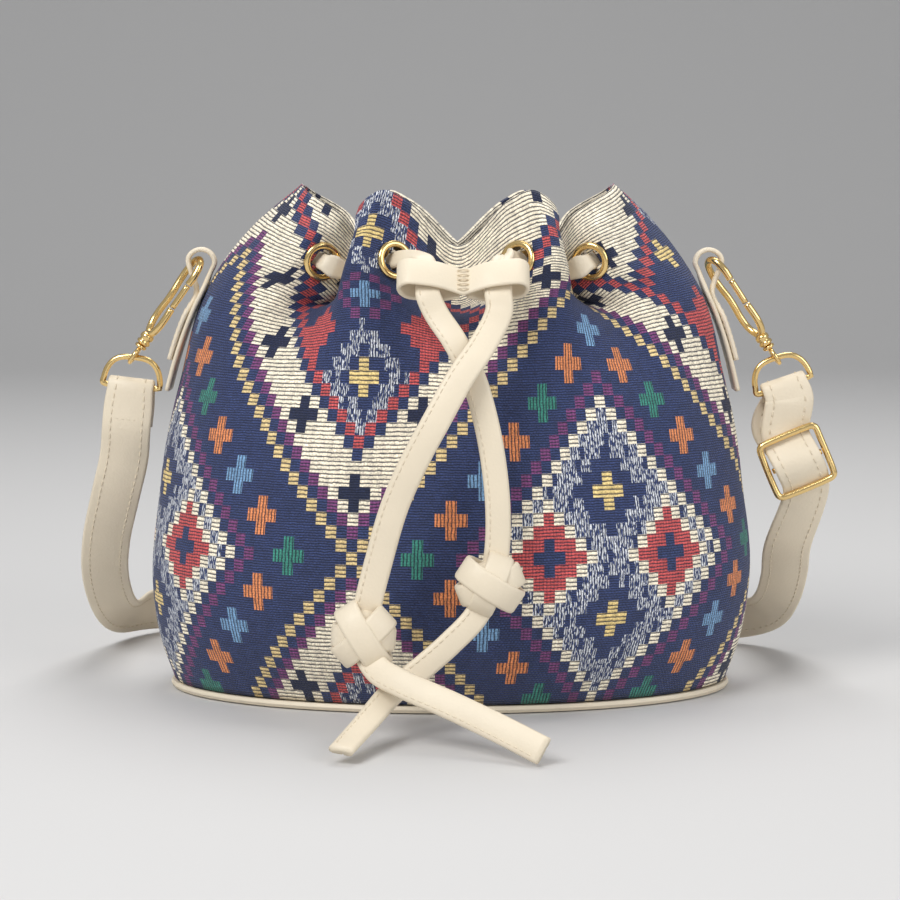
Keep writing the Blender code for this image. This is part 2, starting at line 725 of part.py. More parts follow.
def make_knot(name, centre, size, turn):
    """A tight lump of strap: a rounded block."""
    shape = bmesh.new()
    bmesh.ops.create_cube(shape, size=1)
    mesh = bpy.data.meshes.new(name)
    shape.to_mesh(mesh)
    shape.free()
    knot = place(bpy.data.objects.new(name, mesh), CREAM)
    scale = Matrix.Diagonal((*[s * MM for s in size], 1))
    mesh.transform(Matrix.Rotation(math.radians(turn), 4, "Y") @ scale)
    knot.location = Vector(centre) * MM
    rounded = knot.modifiers.new("round", "SUBSURF")
    rounded.levels = rounded.render_levels = 2


def keeper_channel_point(sign, channel):
    """Where the strap lies in the right (1) or left (-1) loop, against the loop's front wall."""
    deep = channel.cross(Vector((1, 0, 0))).normalized()
    if deep.y > 0:
        deep = -deep
    return KEEPER_CENTRE + Vector((sign * 12.5 * MM, 0, 0)) + deep * STRING_REST


def make_drawstring(channel):
    """The laced part, from inside the keeper's right loop round to its left loop."""
    frames = EYELET_FRAMES
    count = len(frames)
    middle = count // 2
    order = [frames[(middle + i) % count] for i in range(count)]
    entry = []
    for sign in (1, -1):
        mouth = keeper_channel_point(sign, channel)
        top = mouth - channel * (KEEPER_LONG / 2 + 3.2 * MM) + Vector((sign * 1.5 * MM, 0, 0))
        entry.append((mouth + channel * 1.5 * MM, top))
    across = Vector((1, 0, 0))
    stations = [(entry[0][0], across, STRING_WIDE * 0.8), (entry[0][1], across, STRING_WIDE * 0.75)]
    outside = True
    for i, (centre, normal, up) in enumerate(order):
        out_point = centre + normal * 3.0 * MM
        in_point = centre - normal * 4.4 * MM
        first, second = (out_point, in_point) if outside else (in_point, out_point)
        for point in (first, centre - normal * 0.7 * MM, second):
            stations.append((point, up, STRING_WIDE_IN_EYELET))
        outside = not outside
        if i + 1 < count:
            after, after_normal, after_up = order[i + 1]
            sign = 1 if outside else -1
            spread = (after - centre).length
            push = (2.6 if outside else 5.5) * MM
            if spread > 60 * MM:
                push = 9 * MM
            mean_normal = (normal + after_normal).normalized()
            middle_point = (centre + after) / 2 + mean_normal * sign * push
            if spread > 60 * MM:
                middle_point = (centre + after) / 2
            stations.append((middle_point, (up + after_up).normalized(), STRING_WIDE * 0.86))
    stations += [(entry[1][1], across, STRING_WIDE * 0.75), (entry[1][0], across, STRING_WIDE * 0.8)]
    ribbon("drawstring", stations, STRING_THICK, CREAM)


def wrap(bar, down, clear, angles):
    """Points half round a ring's bar: 0 is in front of it, 90 is over it, and 180 is behind it."""
    for degrees in angles:
        a = math.radians(degrees)
        yield bar + Vector((0, -1, 0)) * clear * math.cos(a) - down * clear * math.sin(a)


def make_shoulder_strap(left, right, slider):
    """One long strap, from its left ring, down and behind the bag in three runs, to the right."""
    (left_bar, left_down), (right_bar, right_down) = left, right
    centre, along, across, facing = slider
    x_axis = Vector((1, 0, 0))
    up = Vector((0, 0, 1))
    clear = RING_WIRE + STRAP_THICK / 2 + 0.6 * MM
    front, rear = Vector((0, -1, 0)), Vector((0, 1, 0))
    left_across = left_down.cross(front).normalized()
    if left_across.x < 0:
        left_across = -left_across
    wide, folded = STRAP_WIDE, STRAP_WIDE * 0.94
    stations = [
        (left_bar + left_down * 15 * MM + rear * clear * 0.9, left_across, wide),
        (left_bar + left_down * 7 * MM + rear * clear, left_across, wide),
        *((p, left_across, folded) for p in wrap(left_bar, left_down, clear, (180, 135, 90, 45, 0))),
        (left_bar + left_down * 7 * MM + front * clear, left_across, wide),
        (left_bar + left_down * 15 * MM + front * clear * 0.9, left_across, wide),
    ]
    drop = [(-127.5, 2.0, 90), (-132, 8.5, 74), (-138, 22, 54), (-141, 38, 37), (-140.5, 58, 21),
            (-138, 80, 12.5), (-130, 100, 11.5)]
    leans = [(1, 0, 0), (1, 0, 0), (1, 0, 0.05), (1, 0, 0.15), (0.9, 0, 0.3), (0.62, -0.1, 0.75),
             (0.2, -0.2, 1)]
    for point, lean in zip(drop, leans):
        stations.append((Vector(point) * MM, Vector(lean).normalized(), wide))
    runs = [(-112, 114), (-85, 119), (0, 119), (80, 119), (97, 116), (103, 109), (97, 102), (80, 99),
            (0, 99), (-80, 99), (-97, 96.5), (-103, 90.5), (-96, 84.5), (-78, 82), (0, 82), (80, 82),
            (105, 84)]
    for x, y in runs:
        stations.append((Vector((x, y, 10.4)) * MM, up, wide))
    climb = [(122, 81, 11.8), (132, 68, 15.5), (135.5, 50, 25), (136, 33, 38), (134.8, 17, 52)]
    climb_leans = [(-0.35, 0.2, 1), (-0.75, 0.1, 0.6), (-0.95, 0, 0.2), (-1, 0, 0), (-1, 0, 0)]
    for point, lean in zip(climb, climb_leans):
        stations.append((Vector(point) * MM, Vector(lean).normalized(), wide))
    back = SLIDER_WIRE + STRAP_THICK / 2 + 0.6 * MM
    over = SLIDER_WIRE * 0.85 + STRAP_THICK / 2 + 0.35 * MM
    turned_across = -across
    high = SLIDER_HALF_HIGH
    weave = [(-high, -back), (0, over), (high, -back)]
    for distance, out in weave:
        stations.append((centre + along * distance + facing * out, turned_across, wide))
    right_across = right_down.cross(front).normalized()
    if right_across.x > 0:
        right_across = -right_across
    stations += [
        (right_bar + right_down * 5 * MM + front * clear, right_across, wide),
        *((p, right_across, folded) for p in wrap(right_bar, right_down, clear, (0, 45, 90, 135, 180))),
        (right_bar + right_down * 8 * MM + rear * 5.5 * MM - x_axis * 1.5 * MM, right_across, wide),
        (centre + along * (high + 3 * MM) + rear * 7.5 * MM - x_axis * 2 * MM, turned_across, wide),
        (centre + along * 6 * MM + rear * 4.2 * MM, turned_across, wide * 0.98),
        (centre + along * 0.5 * MM - facing * over, turned_across, wide * 0.96),
    ]
    ribbon("shoulder_strap", stations, STRAP_THICK, CREAM)


def make_all():
    make_panels()
    make_base()
    make_lining()
    make_eyelets()
    rings = []
    lean = {"left": Vector((-27.5, 0, -39.5)), "right": Vector((26.5, 0, -38.5))}
    bars = {"left": Vector((1, 0, -0.12)), "right": Vector((1, 0, 0.34))}
    for label, side in (("left", -1), ("right", 1)):
        eye_of_tab = make_tab(f"side_tab_{label}", side)
        top = eye_of_tab + Vector((0, 0, 1.9 * MM))
        clasp = Clasp(top, top + lean[label] * MM)
        through = make_clasp(label, clasp)
        rings.append(make_ring(f"strap_ring_{label}", through, bars[label].normalized()))
    channel = make_keeper()
    make_drawstring(channel)
    right_start, left_start = ([keeper_channel_point(sign, channel) + channel * distance
                                for distance in (1.5 * MM + STRING_END_GAP, 6.5 * MM)] for sign in (1, -1))
    strand("drawstring_end_right", RIGHT_END, STRING_WIDE, STRING_THICK, first=right_start)
    strand("drawstring_end_left", LEFT_END, STRING_WIDE * 0.86, STRING_THICK, first=left_start)
    strand("drawstring_tail_right", RIGHT_TAIL, STRING_WIDE, STRING_THICK, (-0.1, 0.5, 0.85))
    strand("drawstring_tail_left", LEFT_TAIL, STRING_WIDE * 0.95, STRING_THICK, LEFT_TAIL_TURNS)
    make_knot("knot_right", RIGHT_KNOT, (28, 18, 26), 10)
    make_knot("knot_left", LEFT_KNOT, (29, 18, 23), -15)
    slider_centre = Vector((135, -3.5, 88.5)) * MM
    slider_along = Vector((-0.42, 0, 1)).normalized()
    slider_across = Vector((1, 0, 0.42)).normalized()
    facing = make_slider(slider_centre, slider_along, slider_across)
    if facing.y > 0:
        facing = -facing
    make_shoulder_strap(rings[0], rings[1], (slider_centre, slider_along, slider_across, facing))


make_all()
for obj in parts.objects:
    if obj.type == "MESH" and not obj.name.startswith(("base", "drawstring", "shoulder")):
        obj.data.shade_smooth()
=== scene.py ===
import math

import bmesh
import bpy
import numpy as np
from mathutils import Matrix, Vector, noise


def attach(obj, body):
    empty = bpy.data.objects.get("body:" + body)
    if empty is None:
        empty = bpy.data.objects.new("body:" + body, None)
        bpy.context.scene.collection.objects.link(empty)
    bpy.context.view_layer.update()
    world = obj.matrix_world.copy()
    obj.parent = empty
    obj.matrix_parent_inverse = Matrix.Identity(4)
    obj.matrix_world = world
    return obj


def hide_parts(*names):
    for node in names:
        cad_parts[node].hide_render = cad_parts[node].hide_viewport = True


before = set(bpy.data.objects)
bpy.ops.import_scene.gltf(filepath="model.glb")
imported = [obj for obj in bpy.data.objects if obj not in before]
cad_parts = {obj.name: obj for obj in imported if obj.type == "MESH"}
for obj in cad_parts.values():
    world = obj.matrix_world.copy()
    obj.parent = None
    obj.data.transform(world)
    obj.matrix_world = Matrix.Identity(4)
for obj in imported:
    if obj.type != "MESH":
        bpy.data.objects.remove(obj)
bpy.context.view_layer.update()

MM = 0.001

# Body fabric
FABRIC_ROUND = 610 * MM  # length of fabric once round the body
FABRIC_HIGH = 210 * MM  # from the base seam to the rim
FABRIC_THICK = 1.4 * MM
SEAM_GAP = 0.5 * MM
QUARTER = FABRIC_ROUND / 4
EYELET_BELOW_RIM = 25 * MM
EYELET_LEVEL = FABRIC_HIGH - EYELET_BELOW_RIM  # along the fabric, from the base seam
MOUTH_SHIFT = 3 * MM  # the gathered mouth sits a little to the right

# Lower body, in millimetres: height along the fabric, half width, half depth, height above the floor
LOWER_RINGS = [
    (0, 108.3, 55, 3.6),
    (18, 113.8, 66, 20.5),
    (42, 117, 73, 43.5),
    (84, 112.5, 71, 85),
    (120, 106.5, 63, 119.5),
]
# Half gathered ring below the eyelets
SHOULDER_LEVEL = 152 * MM
SHOULDER = (96.5 * MM, 55 * MM, 149 * MM)
SHOULDER_GATHER = 0.35
# Gathered rings, in millimetres, a quarter of each: place along the fabric from the front, x, y, z
EYELET_RING = [
    (0, 0, -40, 153),
    (25, 22.5, -49, 168),
    (36, 33, -54, 172),
    (46, 41, -50, 171),
    (63, 38.5, -35, 162),
    (82, 42, -19, 156.5),
    (101, 50, -33, 167),
    (125, 68, -25, 175),
    (QUARTER / MM, 78, 0, 180),
]
RIM_RING = [
    (0, 0, -33, 173),
    (25, 19, -42, 190),
    (36, 28, -47, 193.5),
    (46, 36, -45, 188),
    (63, 33, -30, 177),
    (82, 36, -14, 174),
    (101, 43, -29, 184),
    (125, 57, -22, 193),
    (QUARTER / MM, 60, 0, 196),
]

# Eyelets
EYELET_PLACES = [25 * MM, 63 * MM, 101 * MM]  # from the front centre, then mirrored
EYELET_OUTER = 7.3 * MM
EYELET_HOLE = 4.8 * MM
EYELET_WALL = 0.5 * MM
EYELET_CLEAR = 0.6 * MM
WASHER_THICK = 0.8 * MM
FLAT_ROUND_EYELET = 11.8 * MM
FLAT_FADES_BY = 22 * MM

# Drawstring
STRING_WIDE = 10 * MM
STRING_WIDE_IN_EYELET = 6.6 * MM
STRING_THICK = 2.6 * MM
STRING_REST = 1.0 * MM  # how far in front of the loop's middle it lies

# Keeper
KEEPER_HALF_WIDTH = 23 * MM
KEEPER_DEEP = 9.5 * MM
KEEPER_LONG = 11 * MM
KEEPER_WALL = 1.6 * MM
KEEPER_DROOP = 1.0 * MM
CHANNEL_APART = 12.5 * MM  # of each loop's middle from the keeper's
KEEPER_LEAN = math.radians(38)  # of the channel that the string runs through
KEEPER_CENTRE = Vector((4.7 * MM, -69 * MM, 161 * MM))

# Side tabs
TAB_WIDE = 15 * MM
TAB_WIDE_AT_CREST = 4.8 * MM
TAB_THICK = 1.8 * MM
TAB_GAP = 2.1 * MM
TAB_EYE = 4.3 * MM

# Clasps
HOOK_WIRE = 1.4 * MM
HOOK_HALF = 5.4 * MM
HOOK_HIGH = 41 * MM
HOOK_TURN = math.radians(25)
GATE_FOOT = 19.1 * MM  # along the hook, on the gate's hinge axis
GATE_TOP = 29.4 * MM
BOSS_RADIUS = 2.7 * MM
SWIVEL_BORE = 1.4 * MM
SWIVEL_PIN = 1.05 * MM
EYE_RADIUS = 3.2 * MM
EYE_WIRE = 0.9 * MM
RING_WIRE = 1.15 * MM
RING_HALF = 11.1 * MM
RING_HIGH = 11 * MM
RING_SQUARENESS = 0.62
RING_BAR_SAG = 0.6 * MM

# Shoulder strap
STRAP_WIDE = 19 * MM
STRAP_THICK = 2.0 * MM
SLIDER_HALF_WIDE = 11.8 * MM
SLIDER_HALF_HIGH = 11 * MM
SLIDER_WIRE = 1.3 * MM
SLIDER_BAR = SLIDER_WIRE * 0.85
STITCH_INSET = 3.4 * MM  # from the strap's edge
STRAP_OFF_BAR = RING_WIRE + STRAP_THICK / 2 + 0.6 * MM  # the strap's middle from the ring's bar

FRONT, REAR = Vector((0, -1, 0)), Vector((0, 1, 0))
X_AXIS, UP = Vector((1, 0, 0)), Vector((0, 0, 1))


def hermite(stations, values, wanted):
    """Smooth curve through values, which may be rows of coordinates, read at the wanted places."""
    stations = np.asarray(stations, float)
    slopes = np.gradient(values, stations, axis=0)
    index = np.clip(np.searchsorted(stations, wanted, side="right") - 1, 0, len(stations) - 2)
    step = stations[index + 1] - stations[index]
    t = (wanted - stations[index]) / step
    shape = (-1,) + (1,) * (values.ndim - 1)
    t, step = t.reshape(shape), step.reshape(shape)
    start, end = values[index], values[index + 1]
    leave, arrive = slopes[index] * step, slopes[index + 1] * step
    return (
        (2 * t**3 - 3 * t**2 + 1) * start
        + (t**3 - 2 * t**2 + t) * leave
        + (3 * t**2 - 2 * t**3) * end
        + (t**3 - t**2) * arrive
    )


def smooth_path(points, longest, turn):
    """Points on a smooth curve through the given rows, closer together where it bends."""
    points = np.asarray(points, float)
    gaps = np.linalg.norm(np.diff(points[:, :3], axis=0), axis=1)
    along = np.concatenate([[0], np.cumsum(np.sqrt(gaps))])
    fine = hermite(along, points, np.linspace(0, along[-1], 40 * len(points)))
    steps = np.diff(fine[:, :3], axis=0)
    long = np.linalg.norm(steps, axis=1)
    ahead = steps / np.maximum(long, 1e-9)[:, None]
    bend = np.arccos(np.clip((ahead[1:] * ahead[:-1]).sum(axis=1), -1, 1))
    effort = long / longest
    effort[1:] += bend / turn
    effort = np.concatenate([[0], np.cumsum(effort)])
    wanted = np.linspace(0, effort[-1], max(3, math.ceil(effort[-1]) + 1))
    return np.stack([np.interp(wanted, effort, fine[:, i]) for i in range(points.shape[1])], axis=1)


def on_oval(places, half_width, half_depth, height):
    """Points on an oval at these places along the fabric, counted from the front centre."""
    angle = np.linspace(-math.pi, math.pi, 721)
    x, y = half_width * np.sin(angle), -half_depth * np.cos(angle)
    length = np.concatenate([[0], np.cumsum(np.hypot(np.diff(x), np.diff(y)))])
    share = (places / FABRIC_ROUND + 0.5) * length[-1]
    sides = [np.interp(share, length, side) for side in (x, y)]
    return np.stack([*sides, np.full_like(share, height)], axis=1)


def on_gathered_ring(places, ring):
    """Points on a gathered ring, of which the table holds the quarter at the front right."""
    ring = np.array(ring) * MM
    before = ring[:0:-1] * (-1, -1, 1, 1)
    after = ring[-2::-1] * (-1, 1, -1, 1) + (2 * QUARTER, 0, 0, 0)
    whole = np.concatenate([before, ring, after])
    found = hermite(whole[:, 0], whole[:, 1:], np.abs(places))
    found[:, 0] *= np.where(places < 0, -1, 1)
    return found


def surface(places, levels):
    """The fabric's outer face before the eyelets flatten it, as rows of levels by places."""
    places = (places + 2 * QUARTER) % FABRIC_ROUND - 2 * QUARTER
    stations, rings = [], []
    for level, *size in np.array(LOWER_RINGS) * MM:
        stations.append(level)
        rings.append(on_oval(places, *size))
    gathered = on_gathered_ring(places, EYELET_RING)
    even = on_oval(places, EYELET_RING[-1][1] * MM, -EYELET_RING[1][2] * MM, gathered[:, 2].mean())
    stations.append(SHOULDER_LEVEL)
    rings.append(on_oval(places, *SHOULDER) + SHOULDER_GATHER * (gathered - even))
    stations += [EYELET_LEVEL, FABRIC_HIGH]
    rings += [gathered, on_gathered_ring(places, RIM_RING)]
    found = hermite(stations, np.stack(rings), levels)
    lean = np.clip(levels / FABRIC_HIGH, 0, 1) ** 2
    found[:, :, 0] += MOUTH_SHIFT * lean[:, None]
    return found


def frame_at(place_along, level):
    """Point, outward normal and upward direction of the fabric at one place."""
    step = 2 * MM
    steps = np.array([-step, 0, step])
    near = surface(place_along + steps, level + steps)
    across = Vector(near[1, 2] - near[1, 0]).normalized()
    up = Vector(near[2, 1] - near[0, 1]).normalized()
    normal = across.cross(up).normalized()
    return Vector(near[1, 1]), normal, normal.cross(across).normalized()


def eyelet_places():
    """Places of the eyelets along the fabric, from the left of the front centre right round."""
    front = [-p for p in reversed(EYELET_PLACES)] + EYELET_PLACES
    back = [2 * QUARTER - p for p in reversed(EYELET_PLACES)]
    back_left = [-2 * QUARTER + p for p in EYELET_PLACES]
    return back_left + front + back


EYELET_FRAMES = [frame_at(place_along, EYELET_LEVEL) for place_along in eyelet_places()]


def fabric(places, levels):
    """The fabric's outer face, flat round each eyelet."""
    grid = surface(places, levels)
    for place_along, (centre, normal, _) in zip(eyelet_places(), EYELET_FRAMES):
        away = grid - np.array(centre)
        along = (places - place_along + 2 * QUARTER) % FABRIC_ROUND - 2 * QUARTER
        distance = (along[None, :] ** 4 + (levels - EYELET_LEVEL)[:, None] ** 4) ** 0.25
        fade = np.clip((FLAT_FADES_BY - distance) / (FLAT_FADES_BY - FLAT_ROUND_EYELET), 0, 1)
        fade = fade * fade * (3 - 2 * fade)
        grid -= ((away @ np.array(normal)) * fade)[:, :, None] * np.array(normal)
    return grid


class Clasp:
    """A swivel clasp's own axes: from the boss at its foot to the top of the hook."""

    def __init__(self, top, foot):
        self.axis = (top - foot).normalized()
        self.foot = top - self.axis * HOOK_HIGH
        level = self.axis.cross(REAR).normalized()
        if level.x > 0:
            level = -level
        self.side = (REAR * math.cos(HOOK_TURN) + level * math.sin(HOOK_TURN)).normalized()

    def at(self, across, along):
        return self.foot + self.side * across + self.axis * along

    def matrix(self):
        out = self.side.cross(self.axis).normalized()
        return Matrix.Translation(self.foot) @ Matrix((self.side, out, self.axis)).transposed().to_4x4()


def wrap(bar, down, clear, angles):
    """Points half round a ring's bar: 0 is in front of it, 90 is over it, and 180 is behind it."""
    for degrees in angles:
        a = math.radians(degrees)
        yield bar + FRONT * clear * math.cos(a) - down * clear * math.sin(a)


# Pattern chart: cells of the weave, counted from the front centre and from the base seam
CELLS_ROUND = 150
CELLS_HIGH = 44
CELL_WIDE = FABRIC_ROUND / CELLS_ROUND
CELL_HIGH = FABRIC_HIGH / CELLS_HIGH
FIRST_COLUMN, FIRST_ROW = 15, 12  # centre of one large diamond
HALF_PERIOD, ROW_STEP = 24, 21
SMALL_REACH = 12
NAVY = (0.026, 0.045, 0.140)
# dark blue of the pattern's dots, and also the painted shade in the gaps between yarns
INK_AND_GAP_SHADE = (0.010, 0.017, 0.055)
CREAM_YARN = (0.82, 0.74, 0.58)
TAN = (0.66, 0.50, 0.24)
YELLOW = (0.70, 0.53, 0.22)
ORANGE = (0.70, 0.24, 0.09)
CORAL = (0.56, 0.085, 0.085)
PURPLE = (0.19, 0.05, 0.17)
GREEN = (0.035, 0.22, 0.17)
BLUE = (0.17, 0.32, 0.52)
SPECKLE = (0.60, 0.62, 0.66)
GROUND, BLOCK, UPRIGHT, CROSSED, DASHED = 0.0, 1.0, 2.0, 3.0, 4.0
CROSS_COLOURS = (GREEN, ORANGE, BLUE, ORANGE)


def plus(x, y):
    return abs(x) + abs(y) <= 1


def dashes(x, y, half):
    """Upright light dashes on navy; a few half cells stay plain."""
    return (NAVY, GROUND) if (half + x * 5 + y * 3) % 7 == 0 else (SPECKLE, DASHED)


def inside_large(x, y, half):
    for side in (-1, 1):
        near = abs(x - side * 6) + abs(y)
        if near <= 1:
            return NAVY, GROUND
        if near <= 3:
            return CORAL, CROSSED
        if near == 4:
            return CREAM_YARN, BLOCK
        if plus(x, y - side * 5):
            return YELLOW, BLOCK
        if abs(x) + abs(y - side * 5) <= 3:
            return NAVY, GROUND
    return dashes(x, y, half)


def inside_small(x, rise, half):
    """The small diamond between the zigzags, by the rows from its nearest tip."""
    for centre in (5, 19):
        near = abs(x) + abs(rise - centre)
        if plus(x, rise - centre):
            return YELLOW, BLOCK
        if near in (3, 4):
            return dashes(x, rise, half)
    if plus(x, rise - 12):
        return BLUE, UPRIGHT
    if abs(x) + abs(rise - 12) == 3:
        return PURPLE, CROSSED
    if abs(abs(x) - 6) + abs(rise - 9) <= 2:
        return CORAL, CROSSED
    if plus(abs(x) - 6, rise - 15):
        return YELLOW, BLOCK
    return NAVY, GROUND


def chart(column, row, half):
    """Colour and kind of weave of one half cell."""
    x = (column - FIRST_COLUMN + HALF_PERIOD) % (2 * HALF_PERIOD) - HALF_PERIOD
    y = row - FIRST_ROW
    far_x = (column - FIRST_COLUMN) % (2 * HALF_PERIOD) - HALF_PERIOD
    far_y = abs(y) - ROW_STEP
    small = abs(far_x) + abs(far_y)
    large = abs(x) + abs(y)
    if small < SMALL_REACH:
        return inside_small(far_x, far_y + SMALL_REACH, half)
    if small == SMALL_REACH or large == 33:
        return CORAL, CROSSED
    if large <= 11:
        return inside_large(x, y, half)
    if large == 12:
        return CREAM_YARN, BLOCK
    if large == 14 or large == 26:
        return PURPLE, CROSSED
    if 17 <= large <= 19:
        step = round((abs(y) - abs(x) + 18) / 6)
        if plus(abs(x) - 18 + 3 * step, abs(y) - 3 * step):
            return CROSS_COLOURS[step % 4], UPRIGHT
        return NAVY, GROUND
    if large == 24:
        return TAN, BLOCK
    if large >= 27 and large not in (32, 34) and small > SMALL_REACH + 1:
        for i, j in ((0, 0), (1, 0), (-1, 0), (0, 1), (0, -1)):
            if (abs(x + i) + abs(y + j)) % 9 == 2 and (x + i) % 6 == 0:
                return INK_AND_GAP_SHADE, GROUND
        return CREAM_YARN, BLOCK
    return NAVY, GROUND


# Materials
def node_material(name, roughness):
    material = bpy.data.materials.new(name)
    material.use_nodes = True
    nodes, links = material.node_tree.nodes, material.node_tree.links
    shader = nodes["Principled BSDF"]
    shader.inputs["Roughness"].default_value = roughness
    return material, nodes, links, shader


def add_bump(nodes, links, shader, height, strength, distance):
    bump = nodes.new("ShaderNodeBump")
    bump.inputs["Strength"].default_value = strength
    bump.inputs["Distance"].default_value = distance
    links.new(height, bump.inputs["Height"])
    links.new(bump.outputs["Normal"], shader.inputs["Normal"])


def texture(nodes, links, kind, scale, where):
    node = nodes.new(kind)
    node.inputs["Scale"].default_value = scale
    links.new(where, node.inputs["Vector"])
    return node


def make_leather(name, colour):
    material, nodes, links, shader = node_material(name, 0.46)
    where = nodes.new("ShaderNodeTexCoord").outputs["Object"]
    grain = texture(nodes, links, "ShaderNodeTexVoronoi", 900.0, where)
    cloud = texture(nodes, links, "ShaderNodeTexNoise", 60.0, where)
    cloud.inputs["Detail"].default_value = 4.0
    ramp = nodes.new("ShaderNodeValToRGB")
    ramp.color_ramp.elements[0].color = (*[c * 0.93 for c in colour], 1)
    ramp.color_ramp.elements[1].color = (*[min(1, c * 1.04) for c in colour], 1)
    links.new(cloud.outputs["Fac"], ramp.inputs["Fac"])
    links.new(ramp.outputs["Color"], shader.inputs["Base Color"])
    add_bump(nodes, links, shader, grain.outputs["Distance"], 0.22, 0.0002)
    shader.inputs["Specular IOR Level"].default_value = 0.4
    return material


def make_plain(name, colour, roughness, metallic=0.0, scale=500.0, strength=0.05):
    material, nodes, links, shader = node_material(name, roughness)
    shader.inputs["Base Color"].default_value = (*colour, 1)
    shader.inputs["Metallic"].default_value = metallic
    where = nodes.new("ShaderNodeTexCoord").outputs["Object"]
    cloud = texture(nodes, links, "ShaderNodeTexNoise", scale, where)
    add_bump(nodes, links, shader, cloud.outputs["Fac"], strength, 0.0003)
    return material


def mix_colours(nodes, links, factor, first, second):
    node = nodes.new("ShaderNodeMix")
    node.data_type = "RGBA"
    links.new(factor, node.inputs["Factor"])
    for socket, value in zip([s for s in node.inputs if s.type == "RGBA"], (first, second)):
        if isinstance(value, tuple):
            socket.default_value = (*value, 1)
        else:
            links.new(value, socket)
    return [s for s in node.outputs if s.type == "RGBA"][0]


def make_jacquard():
    """Woven cloth: colour from the chart, and yarns with dark gaps from the cloth's own coordinates; the
    gaps and the yarns' hollows are painted shade, and their crowns and bright flecks are painted highlight
    and sheen.
    """
    material, nodes, links, shader = node_material("jacquard_weave", 0.7)

    def calc(operation, *values):
        node = nodes.new("ShaderNodeMath")
        node.operation = operation
        for socket, value in zip(node.inputs, values):
            if isinstance(value, (int, float)):
                socket.default_value = value
            else:
                links.new(value, socket)
        return node.outputs[0]

    def attribute(name, output):
        node = nodes.new("ShaderNodeAttribute")
        node.attribute_name = name
        return node.outputs[output]

    colour = attribute("chart_colour", "Color")
    kind = attribute("weave_kind", "Fac")
    cloth = nodes.new("ShaderNodeUVMap")
    cloth.uv_map = "cloth"

    def cloud(scale, stretch, detail, output):
        mapped = nodes.new("ShaderNodeMapping")
        mapped.inputs["Scale"].default_value = (*stretch, 1.0)
        links.new(cloth.outputs["UV"], mapped.inputs["Vector"])
        noisy = texture(nodes, links, "ShaderNodeTexNoise", scale, mapped.outputs["Vector"])
        noisy.inputs["Detail"].default_value = detail
        return noisy.outputs[output]

    wandering = nodes.new("ShaderNodeVectorMath")
    wandering.operation = "MULTIPLY_ADD"
    wandering.inputs[1].default_value = (0.22, 0.16, 0)
    links.new(cloud(1.9, (1, 1), 2.0, "Color"), wandering.inputs[0])
    links.new(cloth.outputs["UV"], wandering.inputs[2])
    split = nodes.new("ShaderNodeSeparateXYZ")
    links.new(wandering.outputs["Vector"], split.inputs[0])
    across, up = split.outputs[0], split.outputs[1]

    def yarns(value, count):
        return calc("ABSOLUTE", calc("SINE", calc("MULTIPLY", value, math.pi * count)))

    row = calc("FLOOR", calc("MULTIPLY", up, 5))
    shifted = calc("MULTIPLY_ADD", calc("MODULO", row, 2), 0.5 / 3, across)
    ground = calc("MULTIPLY", yarns(up, 5), calc("MULTIPLY_ADD", yarns(shifted, 3), 0.5, 0.5))
    block = calc("MULTIPLY", yarns(up, 3), calc("MULTIPLY_ADD", yarns(across, 1), 0.25, 0.75))
    upright = calc("MULTIPLY", yarns(across, 3), calc("MULTIPLY_ADD", yarns(up, 5), 0.4, 0.6))
    crossed = calc("MULTIPLY", yarns(up, 4), calc("MULTIPLY_ADD", yarns(across, 3), 0.5, 0.5))
    dashed = yarns(across, 4)
    height = ground
    for level, other in ((BLOCK, block), (UPRIGHT, upright), (CROSSED, crossed), (DASHED, dashed)):
        chosen = calc("GREATER_THAN", kind, level - 0.5)
        mixed = nodes.new("ShaderNodeMix")
        links.new(chosen, mixed.inputs["Factor"])
        links.new(height, mixed.inputs["A"])
        links.new(other, mixed.inputs["B"])
        height = mixed.outputs["Result"]
    is_dashed = calc("GREATER_THAN", kind, DASHED - 0.5)
    broken = calc("GREATER_THAN", cloud(1.0, (7.0, 2.2), 1.0, "Fac"), 0.50)
    dash_colour = mix_colours(nodes, links, broken, NAVY, colour)
    yarn_colour = mix_colours(nodes, links, is_dashed, colour, dash_colour)
    # Painted shade: where the yarn height is low, between the yarns, the colour goes to dark blue
    full = nodes.new("ShaderNodeMapRange")
    full.inputs["From Min"].default_value = 0.12
    full.inputs["From Max"].default_value = 0.5
    links.new(height, full.inputs["Value"])
    woven = mix_colours(nodes, links, full.outputs["Result"], INK_AND_GAP_SHADE, yarn_colour)
    # Painted shade and highlight: the colour is darker in the yarns' hollows and lighter on their crowns
    shade = calc("MULTIPLY_ADD", height, 0.5, 0.66)
    # Painted sheen: bright flecks on the yarns; where the noise is low they darken the colour a little
    painted_sheen_fleck = calc("MULTIPLY_ADD", cloud(1.0, (6.0, 7.0), 3.0, "Fac"), 1.9, 0.12)
    scaled = nodes.new("ShaderNodeVectorMath")
    scaled.operation = "SCALE"
    links.new(woven, scaled.inputs[0])
    links.new(calc("MULTIPLY", shade, painted_sheen_fleck), scaled.inputs["Scale"])
    links.new(scaled.outputs["Vector"], shader.inputs["Base Color"])
    raised = calc("GREATER_THAN", kind, 0.5)
    add_bump(nodes, links, shader, calc("MULTIPLY_ADD", raised, 0.6, height), 0.75, 0.0005)
    shader.inputs["Sheen Weight"].default_value = 0.1
    return material


